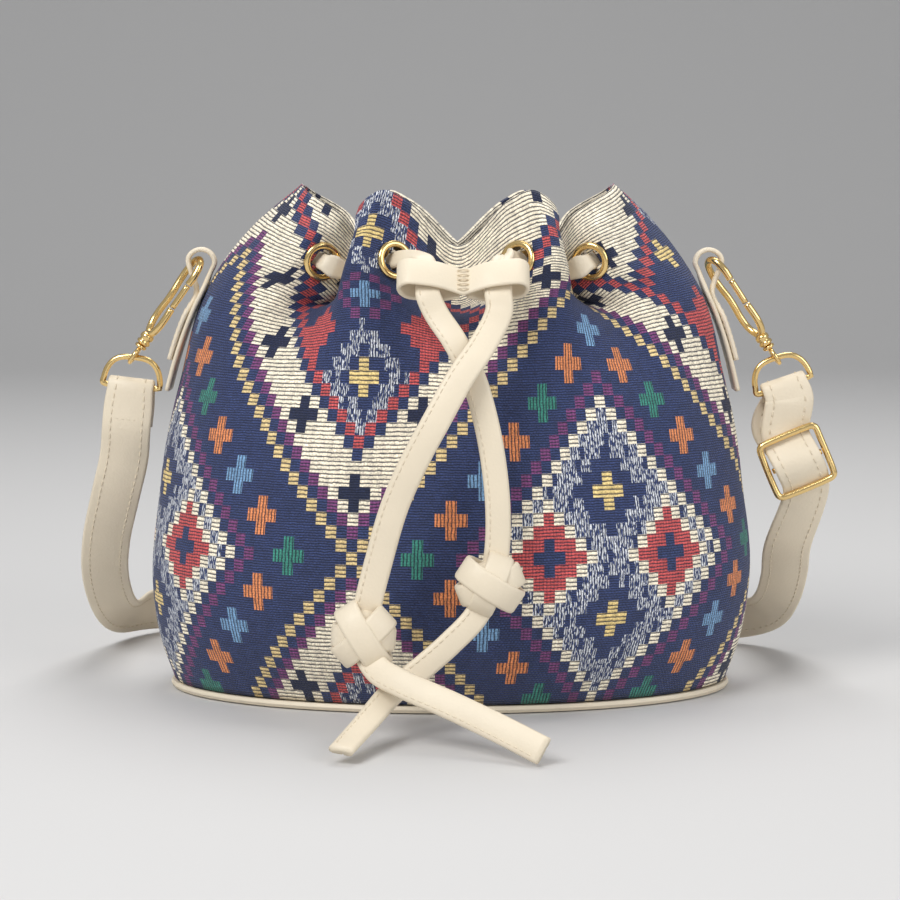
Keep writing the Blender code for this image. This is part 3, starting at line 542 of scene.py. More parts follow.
LEATHER = make_leather("cream_leather_grain", (0.80, 0.70, 0.54))
THREAD = make_plain("cream_thread", (0.74, 0.64, 0.48), 0.6, scale=2500.0, strength=0.2)
GOLD = make_plain("gold_plating", (0.86, 0.62, 0.27), 0.2, 1.0, 90.0, 0.03)
CLOTH = make_plain("grey_lining_cloth", (0.20, 0.19, 0.19), 0.85, scale=1500.0, strength=0.5)
WEAVE = make_jacquard()


# Shapes
def smooth(obj):
    for polygon in obj.data.polygons:
        polygon.use_smooth = True


def cover(obj, material):
    obj.data.materials.clear()
    obj.data.materials.append(material)


def finish_piece(obj, material, nodes=(), body="root"):
    smooth(obj)
    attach(obj, body)
    if nodes:
        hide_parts(*nodes)
    cover(obj, material)
    return obj


def face_outward(obj):
    shape = bmesh.new()
    shape.from_mesh(obj.data)
    bmesh.ops.recalc_face_normals(shape, faces=shape.faces)
    shape.to_mesh(obj.data)
    shape.free()
    return obj


def add_object(name, data):
    obj = bpy.data.objects.new(name, data)
    bpy.context.scene.collection.objects.link(obj)
    return obj


def new_object(name, points, faces):
    mesh = bpy.data.meshes.new(name)
    mesh.from_pydata([tuple(p) for p in points], [], faces)
    mesh.update()
    return add_object(name, mesh)


def ring_faces(first, rings, size, closed=False):
    """Faces between rings of points from this first point on, with caps unless the rings close."""
    faces = []
    for i in range(rings if closed else rings - 1):
        low, high = first + i * size, first + (i + 1) % rings * size
        for k in range(size):
            m = (k + 1) % size
            faces.append((low + k, low + m, high + m, high + k))
    if not closed:
        faces.append(tuple(first + k for k in reversed(range(size))))
        faces.append(tuple(first + (rings - 1) * size + k for k in range(size)))
    return faces


# Drape of the cloth between the base and the eyelets
DRAPE_START, DRAPE_RISES_OVER = 60 * MM, 80 * MM
DRAPE_END, DRAPE_FADES_OVER = 178 * MM, 20 * MM
DRAPE_WAVES = ((9.5 * MM, 1.0, 0.0), (5.3 * MM, 0.6, 1.3))  # length over 2 pi, share and phase
DRAPE_DEPTH = 0.8 * MM
DENT_DEPTH, DENT_RISES_OVER, DENTS_PER_METRE = 1.1 * MM, 15 * MM, 28
EYELET_CUT = EYELET_HOLE + 0.2 * MM


def soft_fabric(places, levels):
    """The fabric with small drape folds that fade out towards the base and the eyelets."""
    grid = fabric(places, levels)
    rise = np.clip((levels - DRAPE_START) / DRAPE_RISES_OVER, 0, 1)
    share = rise * np.clip((DRAPE_END - levels) / DRAPE_FADES_OVER, 0, 1)
    wave = sum(part * np.sin(places / length + phase) for length, part, phase in DRAPE_WAVES)
    outward = grid[:, :, :2] / np.maximum(np.linalg.norm(grid[:, :, :2], axis=2)[:, :, None], 1e-6)
    grid[:, :, :2] += outward * (share[:, None] * wave[None, :] * DRAPE_DEPTH)[:, :, None]
    for r, level in enumerate(levels):
        dent = DENT_DEPTH * min(1, level / DENT_RISES_OVER)
        for c in range(len(places)):
            grid[r, c, :2] += outward[r, c] * noise.noise(Vector(grid[r, c]) * DENTS_PER_METRE) * dent
    return grid


def eyelet_distance(place_along, level):
    """How far a place on the flat cloth is from the nearest eyelet's centre."""
    return min(
        math.hypot((place_along - p + 2 * QUARTER) % FABRIC_ROUND - 2 * QUARTER, level - EYELET_LEVEL)
        for p in eyelet_places()
    )


noise.seed_set(7)


def fabric_panel(name, first_column, node):
    """Half of the body: two by two faces to each cell of the chart."""
    start = (first_column - 0.5) * CELL_WIDE
    places = start + np.arange(CELLS_ROUND + 1) * CELL_WIDE / 2
    places = np.clip(places, start + SEAM_GAP, start + FABRIC_ROUND / 2 - SEAM_GAP)
    levels = np.arange(2 * CELLS_HIGH + 1) * CELL_HIGH / 2
    grid = soft_fabric(places, levels)
    columns = len(places)
    faces, cells = [], []
    for r in range(len(levels) - 1):
        for c in range(columns - 1):
            middle = (places[c] + places[c + 1]) / 2, (levels[r] + levels[r + 1]) / 2
            if eyelet_distance(*middle) >= EYELET_CUT:
                low, high = r * columns + c, (r + 1) * columns + c
                faces.append((low, low + 1, high + 1, high))
                cells.append((c, r))
    panel = new_object(name, grid.reshape(-1, 3), faces)
    mesh = panel.data
    mesh.uv_layers.new(name="cloth")
    mesh.color_attributes.new(name="chart_colour", type="FLOAT_COLOR", domain="CORNER")
    mesh.attributes.new("weave_kind", "FLOAT", "FACE")
    cloth, colour = mesh.uv_layers["cloth"], mesh.color_attributes["chart_colour"]
    kind = mesh.attributes["weave_kind"]
    for index, (c, r) in enumerate(cells):
        tint, weave = chart(first_column + c // 2, r // 2, c % 2)
        uneven = 0.86 + 0.28 * noise.random()
        tint = [v * uneven for v in tint]
        kind.data[index].value = weave
        corners = ((0, 0), (1, 0), (1, 1), (0, 1))
        for corner, (dx, dy) in zip(mesh.polygons[index].loop_indices, corners):
            colour.data[corner].color = (*tint, 1)
            cloth.data[corner].uv = ((c + dx) / 2, (r + dy) / 2)
    thick = panel.modifiers.new("thickness", "SOLIDIFY")
    thick.thickness = FABRIC_THICK
    thick.offset = -1
    finish_piece(panel, WEAVE, [node])


fabric_panel("front_fabric", -37, "front_panel")
fabric_panel("back_fabric", 38, "back_panel")


def round_profile(radius, sides):
    """A round section: shares of the width are 0, and the rest is in metres."""
    angles = (2 * math.pi * i / sides for i in range(sides))
    return [(0, radius * math.cos(a), radius * math.sin(a)) for a in angles]


def flat_profile(thick, dents=(), steps=4):
    """A strap's section with round edges. Dents on its face are (side, inset, depth), right side first."""
    r = thick / 2
    section = []
    for side in (1, -1):
        for i in range(steps + 1):
            a = math.radians(180 * i / steps - 90 * side)
            section.append((side * 0.5, r * math.cos(a) - side * r, r * math.sin(a)))
        if side > 0:
            for dent_side, inset, depth in dents:
                for shift, low in ((-0.5 * MM, 0), (0, depth), (0.5 * MM, 0)):
                    section.append((dent_side * 0.5, -dent_side * (inset + shift * dent_side), r - low))
    return section


def sweep(name, stations, section, longest, turn=math.radians(8), closed=False):
    """This section along the stations. Gives the object, and its points, across, out, ahead and width."""
    rows = smooth_path([[*p, *d, w] for p, d, w in stations], longest, turn)
    if closed:
        rows = rows[:-1]
    centres = rows[:, :3]
    if closed:
        ahead = np.roll(centres, -1, axis=0) - np.roll(centres, 1, axis=0)
    else:
        ahead = np.gradient(centres, axis=0)
    ahead /= np.maximum(np.linalg.norm(ahead, axis=1)[:, None], 1e-9)
    across = rows[:, 3:6] - ahead * (rows[:, 3:6] * ahead).sum(axis=1)[:, None]
    across /= np.maximum(np.linalg.norm(across, axis=1)[:, None], 1e-9)
    out = np.cross(across, ahead)
    points = [
        centres[i] + across[i] * (share * rows[i, 6] + extra) + out[i] * lift
        for i in range(len(rows))
        for share, extra, lift in section
    ]
    faces = ring_faces(0, len(rows), len(section), closed)
    obj = face_outward(new_object(name, points, faces))
    return obj, (centres, across, out, ahead, rows[:, 6])


# Stitches: from one to the next, length, and radius
STRAP_STITCH = (3.2 * MM, 2.2 * MM, 0.32 * MM)
FOLD_STITCH = (2.2 * MM, 1.5 * MM, 0.32 * MM)
STRING_STITCH = (2.8 * MM, 1.9 * MM, 0.26 * MM)
TAB_STITCH = (2.6 * MM, 1.8 * MM, 0.25 * MM)
STITCH_TAPER = ((-0.5, 0.45), (-0.3, 1.0), (0.3, 1.0), (0.5, 0.45))  # share of its length, of its radius


def stitch_rows(name, path, offsets, lift, size, faces_of=(1, -1)):
    """Rows of short stitches on a strap's faces. Offsets are (share of width, metres) across."""
    centres, across, out, ahead, wide = path
    pitch, long, thick = size
    gone = np.concatenate([[0], np.cumsum(np.linalg.norm(np.diff(centres, axis=0), axis=1))])
    spots = np.arange(1.5 * pitch, gone[-1] - pitch, pitch)

    def at(values, s):
        return np.stack([np.interp(s, gone, values[:, i]) for i in range(3)], axis=-1)

    ring = [(math.cos(a), math.sin(a)) for a in (math.pi / 3 * i for i in range(6))]
    points, faces = [], []
    for s in spots:
        c, x, z, t = at(centres, s), at(across, s), at(out, s), at(ahead, s)
        w = float(np.interp(s, gone, wide))
        for share, extra in offsets:
            for side in faces_of:
                base = c + x * (share * w + extra) + z * side * lift
                start = len(points)
                for along, share_thick in STITCH_TAPER:
                    for p, q in ring:
                        points.append(base + t * along * long + (x * p + z * q) * thick * share_thick)
                faces += ring_faces(start, len(STITCH_TAPER), len(ring))
    return finish_piece(new_object(name, points, faces), THREAD)


def lathe(name, profile, matrix, sides=44):
    angles = (2 * math.pi * i / sides for i in range(sides))
    points = [matrix @ Vector((r * math.cos(a), r * math.sin(a), z)) for a in angles for r, z in profile]
    return face_outward(new_object(name, points, ring_faces(0, sides, len(profile), True)))


# Base, piping and lining take new surfaces on the CAD's own shapes
BASE_EDGE = 0.6 * MM
for node, material in (("base_panel", LEATHER), ("base_piping", LEATHER), ("lining", CLOTH)):
    cover(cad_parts[node], material)
smooth(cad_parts["base_piping"])
smooth(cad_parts["lining"])
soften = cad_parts["base_panel"].modifiers.new("soften", "BEVEL")
soften.width = BASE_EDGE
soften.segments = 3
soften.limit_method = "ANGLE"

# Eyelets: a rolled rim, a barrel, and a washer inside
BARREL = EYELET_HOLE + EYELET_WALL
WASHER_TOP = -(FABRIC_THICK + EYELET_CLEAR)
FOOT = WASHER_TOP - WASHER_THICK - EYELET_CLEAR
ROLL_MIDDLE = (EYELET_HOLE + EYELET_OUTER) / 2
ROLL_HALF = (EYELET_OUTER - EYELET_HOLE) / 2
ROLL_HIGH = 1.25 * MM
EYELET_SECTION = [
    (ROLL_MIDDLE + ROLL_HALF * math.cos(a), 0.2 * MM + ROLL_HIGH * math.sin(a) ** 0.75)
    for a in (math.pi * i / 12 for i in range(12, -1, -1))
] + [(EYELET_OUTER - 0.2 * MM, 0.0), (BARREL, 0.0), (BARREL, FOOT), (EYELET_HOLE, FOOT)]
WASHER_SECTION = [
    (BARREL + 0.2 * MM, WASHER_TOP),
    (EYELET_OUTER - 0.5 * MM, WASHER_TOP),
    (EYELET_OUTER - 0.2 * MM, WASHER_TOP - 0.3 * MM),
    (EYELET_OUTER - 0.5 * MM, WASHER_TOP - WASHER_THICK),
    (BARREL + 0.2 * MM, WASHER_TOP - WASHER_THICK),
]
for number, (centre, normal, up) in enumerate(EYELET_FRAMES, 1):
    turn = Matrix((up.cross(normal), up, normal)).transposed().to_4x4()
    seat = Matrix.Translation(centre) @ turn
    ring = lathe(f"rim_{number:02d}", EYELET_SECTION, seat)
    finish_piece(ring, GOLD, [f"eyelet_{number:02d}"])
    washer = lathe(f"washer_{number:02d}", WASHER_SECTION, seat, 32)
    finish_piece(washer, GOLD, [f"eyelet_washer_{number:02d}"])

# Drawstring: laced part, keeper, two free ends, two knots and two tails
STRING_SECTION = flat_profile(STRING_THICK, ((1, STRING_WIDE * 0.36, 0.45 * MM),))
CHANNEL = Vector((0, -math.sin(KEEPER_LEAN), -math.cos(KEEPER_LEAN)))
DEEP = Vector((0, -math.cos(KEEPER_LEAN), math.sin(KEEPER_LEAN)))
LACE_WAYS = (3.0 * MM, -0.7 * MM, -4.4 * MM)  # outside, inside and behind an eyelet
LACE_INNER, LACE_OUTER = -5.5 * MM, 2.6 * MM  # from the straight line between two eyelets
LACE_STRAIGHT = 60 * MM  # where two eyelets are further apart, it runs straight


def keeper_channel_point(sign):
    return KEEPER_CENTRE + X_AXIS * sign * CHANNEL_APART + DEEP * STRING_REST


def keeper_entry(sign):
    """The laced string's two stations in one loop of the keeper, from its mouth up."""
    mouth = keeper_channel_point(sign)
    top = mouth - CHANNEL * (KEEPER_LONG / 2 + 3.2 * MM) + X_AXIS * sign * 1.5 * MM
    return [(mouth + CHANNEL * 1.5 * MM, X_AXIS, STRING_WIDE * 0.8), (top, X_AXIS, STRING_WIDE * 0.75)]


def laced_stations():
    """From the keeper in and out of the eyelets, once round the mouth, and back to the keeper."""
    count = len(EYELET_FRAMES)
    order = [EYELET_FRAMES[(count // 2 + i) % count] for i in range(count)]
    stations = keeper_entry(1)
    for i, (centre, normal, up) in enumerate(order):
        goes_in = i % 2 == 0
        for way in LACE_WAYS if goes_in else reversed(LACE_WAYS):
            stations.append((centre + normal * way, up, STRING_WIDE_IN_EYELET))
        if i + 1 < count:
            after, after_normal, after_up = order[i + 1]
            middle = (centre + after) / 2
            if (after - centre).length <= LACE_STRAIGHT:
                middle += (normal + after_normal).normalized() * (LACE_INNER if goes_in else LACE_OUTER)
            stations.append((middle, (up + after_up).normalized(), STRING_WIDE * 0.86))
    return stations + keeper_entry(-1)[::-1]


laced, _ = sweep("laced_string", laced_stations(), STRING_SECTION, 2 * MM, math.radians(9))
finish_piece(laced, LEATHER, ["drawstring"])


def keeper_stations():
    """Once round both loops of the keeper, pinched together in the middle."""
    half, depth = KEEPER_HALF_WIDTH, KEEPER_DEEP / 2
    pinch = KEEPER_WALL / 2 + 0.25 * MM
    ring = [
        (half - depth + depth * math.cos(a), depth * math.sin(a))
        for a in (math.radians(-90 + 22.5 * i) for i in range(9))
    ]
    ring = [(9 * MM, -depth * 0.9)] + ring + [(9 * MM, depth * 0.9), (2.0 * MM, pinch * 1.6)]
    other = [(-x, y) for x, y in reversed(ring)]
    path = [(1.2 * MM, -pinch)] + ring + [(0, pinch)] + other + [(-1.2 * MM, -pinch)]
    stations = []
    for x, y in path:
        droop = Vector((x, 0, 0.10 * abs(x) - KEEPER_DROOP))
        stations.append((KEEPER_CENTRE + droop + DEEP * y, CHANNEL, KEEPER_LONG))
    return stations


keeper, _ = sweep("keeper_band", keeper_stations(), flat_profile(KEEPER_WALL), 1.2 * MM, math.radians(10))
finish_piece(keeper, LEATHER, ["keeper"])
PINCH = KEEPER_CENTRE - UP * KEEPER_DROOP + DEEP * (KEEPER_WALL * 1.55)
STITCH_LOOP = ((-2.2, 0.0), (-1.0, 0.9), (1.0, 0.9), (2.2, 0.0))  # millimetres across and out
for number in range(5):
    middle = PINCH + CHANNEL * (number - 2) * 2.0 * MM
    loop = [(middle + X_AXIS * x * MM + DEEP * lift * MM, CHANNEL, MM) for x, lift in STITCH_LOOP]
    stitch, _ = sweep(f"keeper_stitch_{number}", loop, round_profile(0.35 * MM, 8), 0.6 * MM)
    finish_piece(stitch, THREAD)

# Free ends, in millimetres: from the keeper to the knot, and on to the cut end
RIGHT_END = [(17.5, -75.5, 151), (12, -84, 140), (3.5, -91, 128), (-5, -95, 113), (-12.5, -95.5, 99),
             (-19.5, -94.5, 83), (-25, -93.5, 64), (-28.8, -93.2, 48.7)]
RIGHT_KNOT = Vector((-30.5, -94, 37)) * MM
RIGHT_TAIL = [(-26.0, -100.5, 27.1), (-17.3, -107, 23), (0, -115, 17), (16.5, -124, 11), (31.5, -134, 5.4)]
LEFT_END = [(-5, -75, 150), (1.5, -80, 140.5), (8, -83, 128), (12.5, -84.5, 113), (15.5, -85.5, 97),
            (17, -86, 80), (16.5, -86.4, 65.1)]
LEFT_KNOT = Vector((14.2, -87.5, 54.5)) * MM
LEFT_TAIL = [(9.3, -89.7, 43.6), (0, -92, 34), (-8.8, -94, 26.5), (-20.5, -98.5, 17.5), (-29.5, -114, 10),
             (-37, -132, 5)]
RIGHT_TAIL_TURNS = [(-0.1, 0.5, 0.85)] * len(RIGHT_TAIL)
LEFT_TAIL_TURNS = [(0.72, 0, -0.69), (0.72, 0, -0.69), (0.75, 0, -0.66), (0.85, -0.1, -0.5),
                   (0.93, -0.25, -0.25), (0.93, -0.3, -0.1)]


def free_end(label, sign, end, knot, tail, width, tail_turns):
    """One end from the keeper through its knot to the cut end, as one strap, with its stitches."""
    start = [keeper_channel_point(sign) + CHANNEL * d for d in (1.9 * MM, 6.5 * MM)]
    points = start + [Vector(p) * MM for p in end] + [knot] + [Vector(p) * MM for p in tail]
    turns = [(1, 0, 0)] * (len(points) - len(tail)) + tail_turns
    stations = []
    for i, (point, turn) in enumerate(zip(points, turns)):
        ahead = (points[min(i + 1, len(points) - 1)] - points[max(i - 1, 0)]).normalized()
        across = Vector(turn)
        stations.append((point, (across - ahead * across.dot(ahead)).normalized(), width))
    strap, path = sweep(f"string_end_{label}", stations, STRING_SECTION, 2 * MM)
    nodes = [f"drawstring_end_{label}", f"drawstring_tail_{label}", f"knot_{label}"]
    finish_piece(strap, LEATHER, nodes)
    edge = [(-0.5, 1.7 * MM)]
    stitches = stitch_rows(f"string_stitches_{label}", path, edge, STRING_THICK / 2, STRING_STITCH)
    return strap, stitches, path[0]


# A knot's bands: lean and roll in degrees, width in millimetres, and share of the knot's size
KNOT_BANDS = ((38, 8, 9.5, 0.93), (-42, -12, 9.5, 0.99), (84, 4, 8.5, 0.86))
KNOT_SECTION = flat_profile(2.4 * MM)


def knot_bands(label, centre, size, turn):
    """A knot: one band wound round itself three ways, over a core."""
    half = [s * MM / 2 for s in size]
    tilt = Matrix.Rotation(math.radians(turn), 3, "Y")
    shape = bmesh.new()
    bmesh.ops.create_icosphere(shape, subdivisions=3, radius=1)
    core = new_object(f"knot_core_{label}", (), ())
    shape.to_mesh(core.data)
    shape.free()
    core_size = Matrix.Diagonal((*[h * 0.8 for h in half], 1))
    core.data.transform(Matrix.Translation(centre) @ tilt.to_4x4() @ core_size)
    made = [finish_piece(core, LEATHER)]
    for number, (lean, roll, wide, share) in enumerate(KNOT_BANDS):
        spin = Matrix.Rotation(math.radians(lean), 3, "Y") @ Matrix.Rotation(math.radians(roll), 3, "X")
        stations = []
        for i in range(17):
            angle = 2 * math.pi * i / 16
            local = spin @ Vector((0, math.cos(angle), math.sin(angle)))
            reach = 1 / math.sqrt(sum((v / h) ** 2 for v, h in zip(local, half)))
            stations.append((centre + tilt @ local * reach * share, tilt @ spin @ X_AXIS, wide * MM))
        name = f"knot_band_{label}_{number}"
        band, _ = sweep(name, stations, KNOT_SECTION, 1.8 * MM, math.radians(10), True)
        made.append(finish_piece(band, LEATHER))
    return made


for label, sign, end, knot, tail, width, tail_turns, size, lean in (
    ("right", 1, RIGHT_END, RIGHT_KNOT, RIGHT_TAIL, STRING_WIDE, RIGHT_TAIL_TURNS, (24, 16, 24), 10),
    ("left", -1, LEFT_END, LEFT_KNOT, LEFT_TAIL, STRING_WIDE * 0.9, LEFT_TAIL_TURNS, (26, 16, 21), -15),
):
    strap, stitches, centres = free_end(label, sign, end, knot, tail, width, tail_turns)
    bands = knot_bands(label, knot, size, lean)


# Side tabs, clasps, rings and slider
def tab(label, side):
    """A folded strip up the side seam, round the eye that holds the hook, and down again."""
    stand = TAB_THICK / 2 + TAB_GAP
    stations = []
    for level in (116, 128, 140, 149, 156):
        point, normal, _ = frame_at(side * QUARTER, level * MM)
        stations.append((point + normal * stand, REAR, TAB_WIDE))
    point, normal, up = frame_at(side * QUARTER, 158 * MM)
    round_eye = TAB_EYE + TAB_THICK / 2
    centre = point + normal * (stand + round_eye + 0.5 * MM) + up * (round_eye + 2.4 * MM)
    for degrees in (200, 150, 110, 70, 30, -10):
        a = math.radians(degrees)
        around = normal * math.cos(a) + up * math.sin(a)
        stations.append((centre + around * round_eye, REAR, TAB_WIDE_AT_CREST))
    stand += TAB_THICK + 0.4 * MM
    for level, width in ((155, TAB_WIDE_AT_CREST), (146, TAB_WIDE), (136, TAB_WIDE), (128, TAB_WIDE)):
        point, normal, _ = frame_at(side * QUARTER, level * MM)
        stations.append((point + normal * stand, REAR, width))
    strip, path = sweep(f"tab_{label}", stations, flat_profile(TAB_THICK), 1.6 * MM)
    finish_piece(strip, LEATHER, [f"side_tab_{label}"])
    outer_run = tuple(values[int(len(values) * 0.68):] for values in path)
    edges = [(-0.5, 2 * MM), (0.5, -2 * MM)]
    stitch_rows(f"tab_stitches_{label}", outer_run, edges, TAB_THICK / 2, TAB_STITCH)
    return centre


def wire_piece(name, points, radius, nodes, body="root", closed=False, longest=1.6 * MM):
    stations = [(p, Vector((0.3, 0.9, 0.2)), MM) for p in points]
    if closed:
        stations = stations + stations[:1]
    obj, _ = sweep(name, stations, round_profile(radius, 16), longest, math.radians(7), closed)
    return finish_piece(obj, GOLD, nodes, body)


# Hook, from its sprung end round its foot and top: shares of its half width, and millimetres along it
HOOK_PATH = [
    (-0.86, 18.5), (-0.93, 14.5), (-0.88, 10.0), (-0.5, 6.4), (0, 5.0), (0.5, 6.4), (0.9, 10.0),
    (0.96, 14.5), (0.82, 19.5), (0.8, 23.5), (0.95, 29.0), (0.95, 34.0), (0.62, 38.6), (0, 40.0),
    (-0.62, 38.6), (-0.95, 34.0), (-0.92, 30.0),
]
GATE_PATH = [(-0.855, GATE_FOOT), (-0.9, (GATE_FOOT + GATE_TOP) / 2), (-0.92, GATE_TOP)]


def clasp_pieces(label, clasp):
    """Hook with its boss, gate, and swivel eye with its pin. Gives the eye's centre."""
    hook = [clasp.at(a * HOOK_HALF, b * MM) for a, b in HOOK_PATH]
    wire_piece(f"hook_{label}", hook, HOOK_WIRE, [f"clasp_hook_{label}"], f"hook_{label}")
    boss = [
        (SWIVEL_BORE, 0.2), (2.0 * MM, 0.2), (BOSS_RADIUS, 0.8), (BOSS_RADIUS, 1.6), (2.2 * MM, 2.0),
        (2.2 * MM, 2.6), (BOSS_RADIUS, 3.0), (BOSS_RADIUS, 4.2), (2.0 * MM, 5.2), (SWIVEL_BORE, 5.3),
    ]
    turned = lathe(f"boss_{label}", [(r, z * MM) for r, z in boss], clasp.matrix(), 32)
    finish_piece(turned, GOLD, body=f"hook_{label}")
    gate = [clasp.at(a * HOOK_HALF, b) for a, b in GATE_PATH]
    wire_piece(f"gate_{label}", gate, HOOK_WIRE * 0.86, [f"clasp_gate_{label}"], f"gate_{label}")
    eye = clasp.foot - clasp.axis * (EYE_RADIUS + EYE_WIRE + 1.0 * MM)
    round_eye = [
        eye + (clasp.axis * math.cos(a) + REAR * math.sin(a)) * EYE_RADIUS
        for a in (2 * math.pi * i / 16 for i in range(16))
    ]
    nodes = [f"clasp_swivel_{label}"]
    wire_piece(f"swivel_eye_{label}", round_eye, EYE_WIRE, nodes, closed=True, longest=0.8 * MM)
    collar = [
        (0.2 * MM, -1.5), (1.9 * MM, -1.5), (2.4 * MM, -1.1), (2.4 * MM, -0.4), (2.0 * MM, -0.1),
        (SWIVEL_PIN, -0.1), (SWIVEL_PIN, 2.8), (0.2 * MM, 2.8),
    ]
    turned = lathe(f"swivel_collar_{label}", [(r, z * MM) for r, z in collar], clasp.matrix(), 32)
    finish_piece(turned, GOLD)
    return eye


def strap_ring(label, through, bar_direction):
    down = bar_direction.cross(REAR).normalized()
    if down.z > 0:
        down = -down
    crown = through - down * (EYE_RADIUS - EYE_WIRE - RING_WIRE - 1.9 * MM)
    centre = crown + down * RING_HIGH
    points = []
    for i in range(17):
        a = math.pi * i / 16
        across = RING_HALF * math.copysign(abs(math.cos(a)) ** RING_SQUARENESS, math.cos(a))
        points.append(centre + bar_direction * across - down * RING_HIGH * math.sin(a))
    for share in (-0.5, 0.0, 0.5):
        points.append(centre + bar_direction * RING_HALF * share + down * RING_BAR_SAG)
    wire_piece(f"ring_{label}", points, RING_WIRE, [f"strap_ring_{label}"], closed=True)
    return centre + down * RING_BAR_SAG, down


SLIDER_AT = Vector((135, -3.5, 88.5)) * MM
SLIDER_ALONG = Vector((-0.42, 0, 1)).normalized()
SLIDER_ACROSS = Vector((1, 0, 0.42)).normalized()
SLIDER_CORNER = 2.2 * MM


def slider():
    points = []
    for number, (side, end) in enumerate(((1, 1), (-1, 1), (-1, -1), (1, -1))):
        corner_x = side * (SLIDER_HALF_WIDE - SLIDER_CORNER)
        corner_y = end * (SLIDER_HALF_HIGH - SLIDER_CORNER)
        for step in range(4):
            a = math.radians(90 * number + 30 * step)
            across = SLIDER_ACROSS * (corner_x + SLIDER_CORNER * math.cos(a))
            points.append(SLIDER_AT + across + SLIDER_ALONG * (corner_y + SLIDER_CORNER * math.sin(a)))
    wire_piece("slider_frame", points, SLIDER_WIRE, ["strap_slider_frame"], closed=True)
    reach = SLIDER_ACROSS * (SLIDER_HALF_WIDE - SLIDER_WIRE - 0.3 * MM)
    bar = [SLIDER_AT - reach, SLIDER_AT, SLIDER_AT + reach]
    wire_piece("slider_bar", bar, SLIDER_BAR, ["strap_slider_bar"])


RINGS = {}
for label, side, fall, bar in (
    ("left", -1, Vector((-27.5, 0, -39.5)), Vector((1, 0, -0.12))),
    ("right", 1, Vector((26.5, 0, -38.5)), Vector((1, 0, 0.34))),
):
    top = tab(label, side) + UP * 1.9 * MM
    through = clasp_pieces(label, Clasp(top, top + fall * MM))
    RINGS[label] = strap_ring(label, through, bar.normalized())
slider()

# Shoulder strap, in millimetres where it hangs free or lies on the floor
DROP = [(-127.5, 2.0, 90), (-132, 8.5, 74), (-138, 22, 54), (-141, 38, 37), (-140.5, 58, 21),
        (-138, 80, 12.5), (-130, 100, 11.5)]
DROP_TURNS = [(1, 0, 0), (1, 0, 0), (1, 0, 0.05), (1, 0, 0.15), (0.9, 0, 0.3), (0.62, -0.1, 0.75),
              (0.2, -0.2, 1)]
RUNS = [(-112, 114), (-85, 119), (0, 119), (80, 119), (97, 116), (103, 109), (97, 102), (80, 99),
        (0, 99), (-80, 99), (-97, 96.5), (-103, 90.5), (-96, 84.5), (-78, 82), (0, 82), (80, 82),
        (105, 84)]
RUNS_HEIGHT = 10.4
CLIMB = [(122, 81, 11.8), (132, 68, 15.5), (135.5, 50, 25), (136, 33, 38), (134.8, 17, 52)]
CLIMB_TURNS = [(-0.35, 0.2, 1), (-0.75, 0.1, 0.6), (-0.95, 0, 0.2), (-1, 0, 0), (-1, 0, 0)]


def across_strap(down, sign):
    """Across the strap below a ring, with its x on the side of this sign."""
    across = down.cross(FRONT).normalized()
    return across if across.x * sign > 0 else -across


def shoulder_strap_stations():
    """From the left ring, down and behind the bag in three runs, up to the slider and the right ring."""
    wide, folded = STRAP_WIDE, STRAP_WIDE * 0.94
    clear = STRAP_OFF_BAR
    bar, down = RINGS["left"]
    across = across_strap(down, 1)
    stations = [
        (bar + down * 15 * MM + REAR * clear * 0.9, across, wide),
        (bar + down * 7 * MM + REAR * clear, across, wide),
        *((p, across, folded) for p in wrap(bar, down, clear, (180, 135, 90, 45, 0))),
        (bar + down * 7 * MM + FRONT * clear, across, wide),
        (bar + down * 15 * MM + FRONT * clear * 0.9, across, wide),
    ]
    runs = [(x, y, RUNS_HEIGHT) for x, y in RUNS]
    turns = DROP_TURNS + [(0, 0, 1)] * len(RUNS) + CLIMB_TURNS
    for point, turn in zip(DROP + runs + CLIMB, turns):
        stations.append((Vector(point) * MM, Vector(turn).normalized(), wide))

    # Through the slider, round the right ring, and back behind the slider's bar
    back = SLIDER_WIRE + STRAP_THICK / 2 + 0.6 * MM
    over = SLIDER_BAR + STRAP_THICK / 2 + 0.35 * MM
    high = SLIDER_HALF_HIGH
    for distance, out in ((-high, -back), (0, over), (high, -back)):
        stations.append((SLIDER_AT + SLIDER_ALONG * distance + FRONT * out, -SLIDER_ACROSS, wide))
    bar, down = RINGS["right"]
    across = across_strap(down, -1)
    stations += [
        (bar + down * 5 * MM + FRONT * clear, across, wide),
        *((p, across, folded) for p in wrap(bar, down, clear, (0, 45, 90, 135, 180))),
        (bar + down * 8 * MM + REAR * 5.5 * MM - X_AXIS * 1.5 * MM, across, wide),
    ]
    for distance, behind, aside, share in ((high + 3 * MM, 7.5, 2, 1), (6 * MM, 4.2, 0, 0.98)):
        shift = REAR * behind * MM - X_AXIS * aside * MM
        stations.append((SLIDER_AT + SLIDER_ALONG * distance + shift, -SLIDER_ACROSS, wide * share))
    return stations + [(SLIDER_AT + SLIDER_ALONG * 0.5 * MM + REAR * over, -SLIDER_ACROSS, wide * 0.96)]


STRAP_SECTION = flat_profile(STRAP_THICK, ((1, STITCH_INSET, 0.14 * MM), (-1, STITCH_INSET, 0.14 * MM)))
strap, strap_path = sweep("long_strap", shoulder_strap_stations(), STRAP_SECTION, 2.5 * MM, math.radians(7))
finish_piece(strap, LEATHER, ["shoulder_strap"])
edges = [(-0.5, STITCH_INSET), (0.5, -STITCH_INSET)]
stitch_rows("strap_stitches", strap_path, edges, STRAP_THICK / 2, STRAP_STITCH)


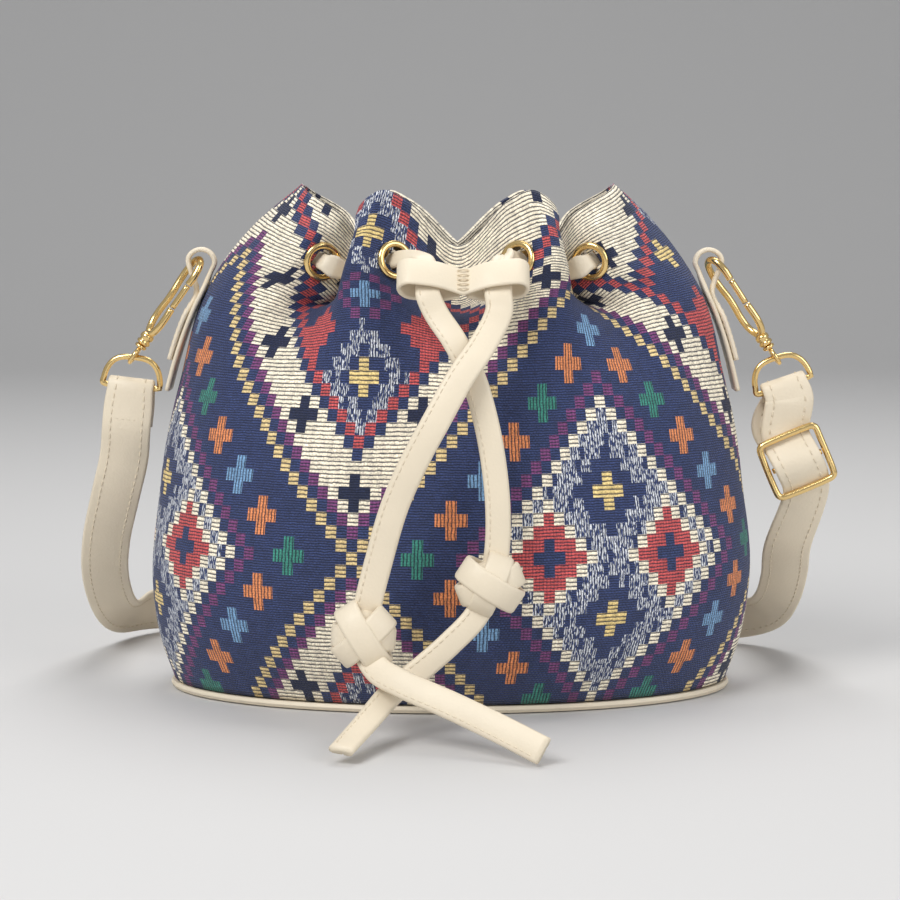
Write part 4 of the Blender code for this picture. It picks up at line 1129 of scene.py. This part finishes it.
def cross_stitch(name, bar, down):
    """The row of stitches that closes the strap's fold below its ring."""
    across = down.cross(FRONT).normalized()
    middle = bar + down * 12.5 * MM + FRONT * (STRAP_OFF_BAR * 0.93)
    half = STRAP_WIDE / 2 - STITCH_INSET
    centres = np.array([[*(middle + across * half * (t / 4 - 1))] for t in range(9)])
    sides = [np.tile(np.array(v), (len(centres), 1)) for v in (down, FRONT, across)]
    path = (centres, *sides, np.ones(len(centres)))
    stitch_rows(name, path, [(0, 0)], STRAP_THICK / 2, FOLD_STITCH, faces_of=(1,))


cross_stitch("fold_stitch_left", *RINGS["left"])

# Floor, light and camera
FLOOR_FRONT, FLOOR_BEND, WALL_HIGH, FLOOR_HALF = -9.0, 1.6, 3.0, 4.0
backdrop = [(FLOOR_FRONT, 0.0)]
for i in range(13):
    a = math.radians(90 * i / 12)
    backdrop.append((FLOOR_BEND + math.sin(a), 1 - math.cos(a)))
backdrop.append((FLOOR_BEND + 1, WALL_HIGH))
floor_points = [(x, y, z) for y, z in backdrop for x in (-FLOOR_HALF, FLOOR_HALF)]
floor_faces = [(i, i + 1, i + 3, i + 2) for i in range(0, len(floor_points) - 2, 2)]
floor = new_object("floor", floor_points, floor_faces)
smooth(floor)
pale, nodes, links, shader = node_material("pale_floor", 0.75)
shader.inputs["Base Color"].default_value = (0.62, 0.61, 0.60, 1)
cloud = nodes.new("ShaderNodeTexNoise")
cloud.inputs["Scale"].default_value = 40.0
add_bump(nodes, links, shader, cloud.outputs["Fac"], 0.03, 0.001)
floor.data.materials.append(pale)

LAMPS_AIM = Vector((0, 0, 0.1))


def lamp(name, where, power, size):
    light = bpy.data.lights.new(name, "AREA")
    light.energy = power
    light.size = size
    obj = add_object(name, light)
    obj.location = where
    obj.rotation_euler = (LAMPS_AIM - Vector(where)).to_track_quat("-Z", "Y").to_euler()


lamp("key", (-0.7, -1.0, 1.2), 16, 0.7)
lamp("fill", (1.1, -0.9, 0.7), 7, 0.9)
lamp("top", (0.1, 0.5, 1.4), 9, 0.8)
world = bpy.data.worlds.new("studio")
bpy.context.scene.world = world
world.use_nodes = True
background = world.node_tree.nodes["Background"]
background.inputs["Color"].default_value = (0.80, 0.82, 0.85, 1)
background.inputs["Strength"].default_value = 0.5
bpy.context.scene.view_settings.view_transform = "Standard"

PITCH = 6.39
camera_data = bpy.data.cameras.new("camera")
camera_data.sensor_width = 36
camera_data.lens = 92.8
camera_data.clip_start = 0.05
camera = add_object("camera", camera_data)
camera.location = (0, -0.9, 0.1934)
camera.rotation_euler = (math.radians(90 - PITCH), 0, 0)
bpy.context.scene.camera = camera
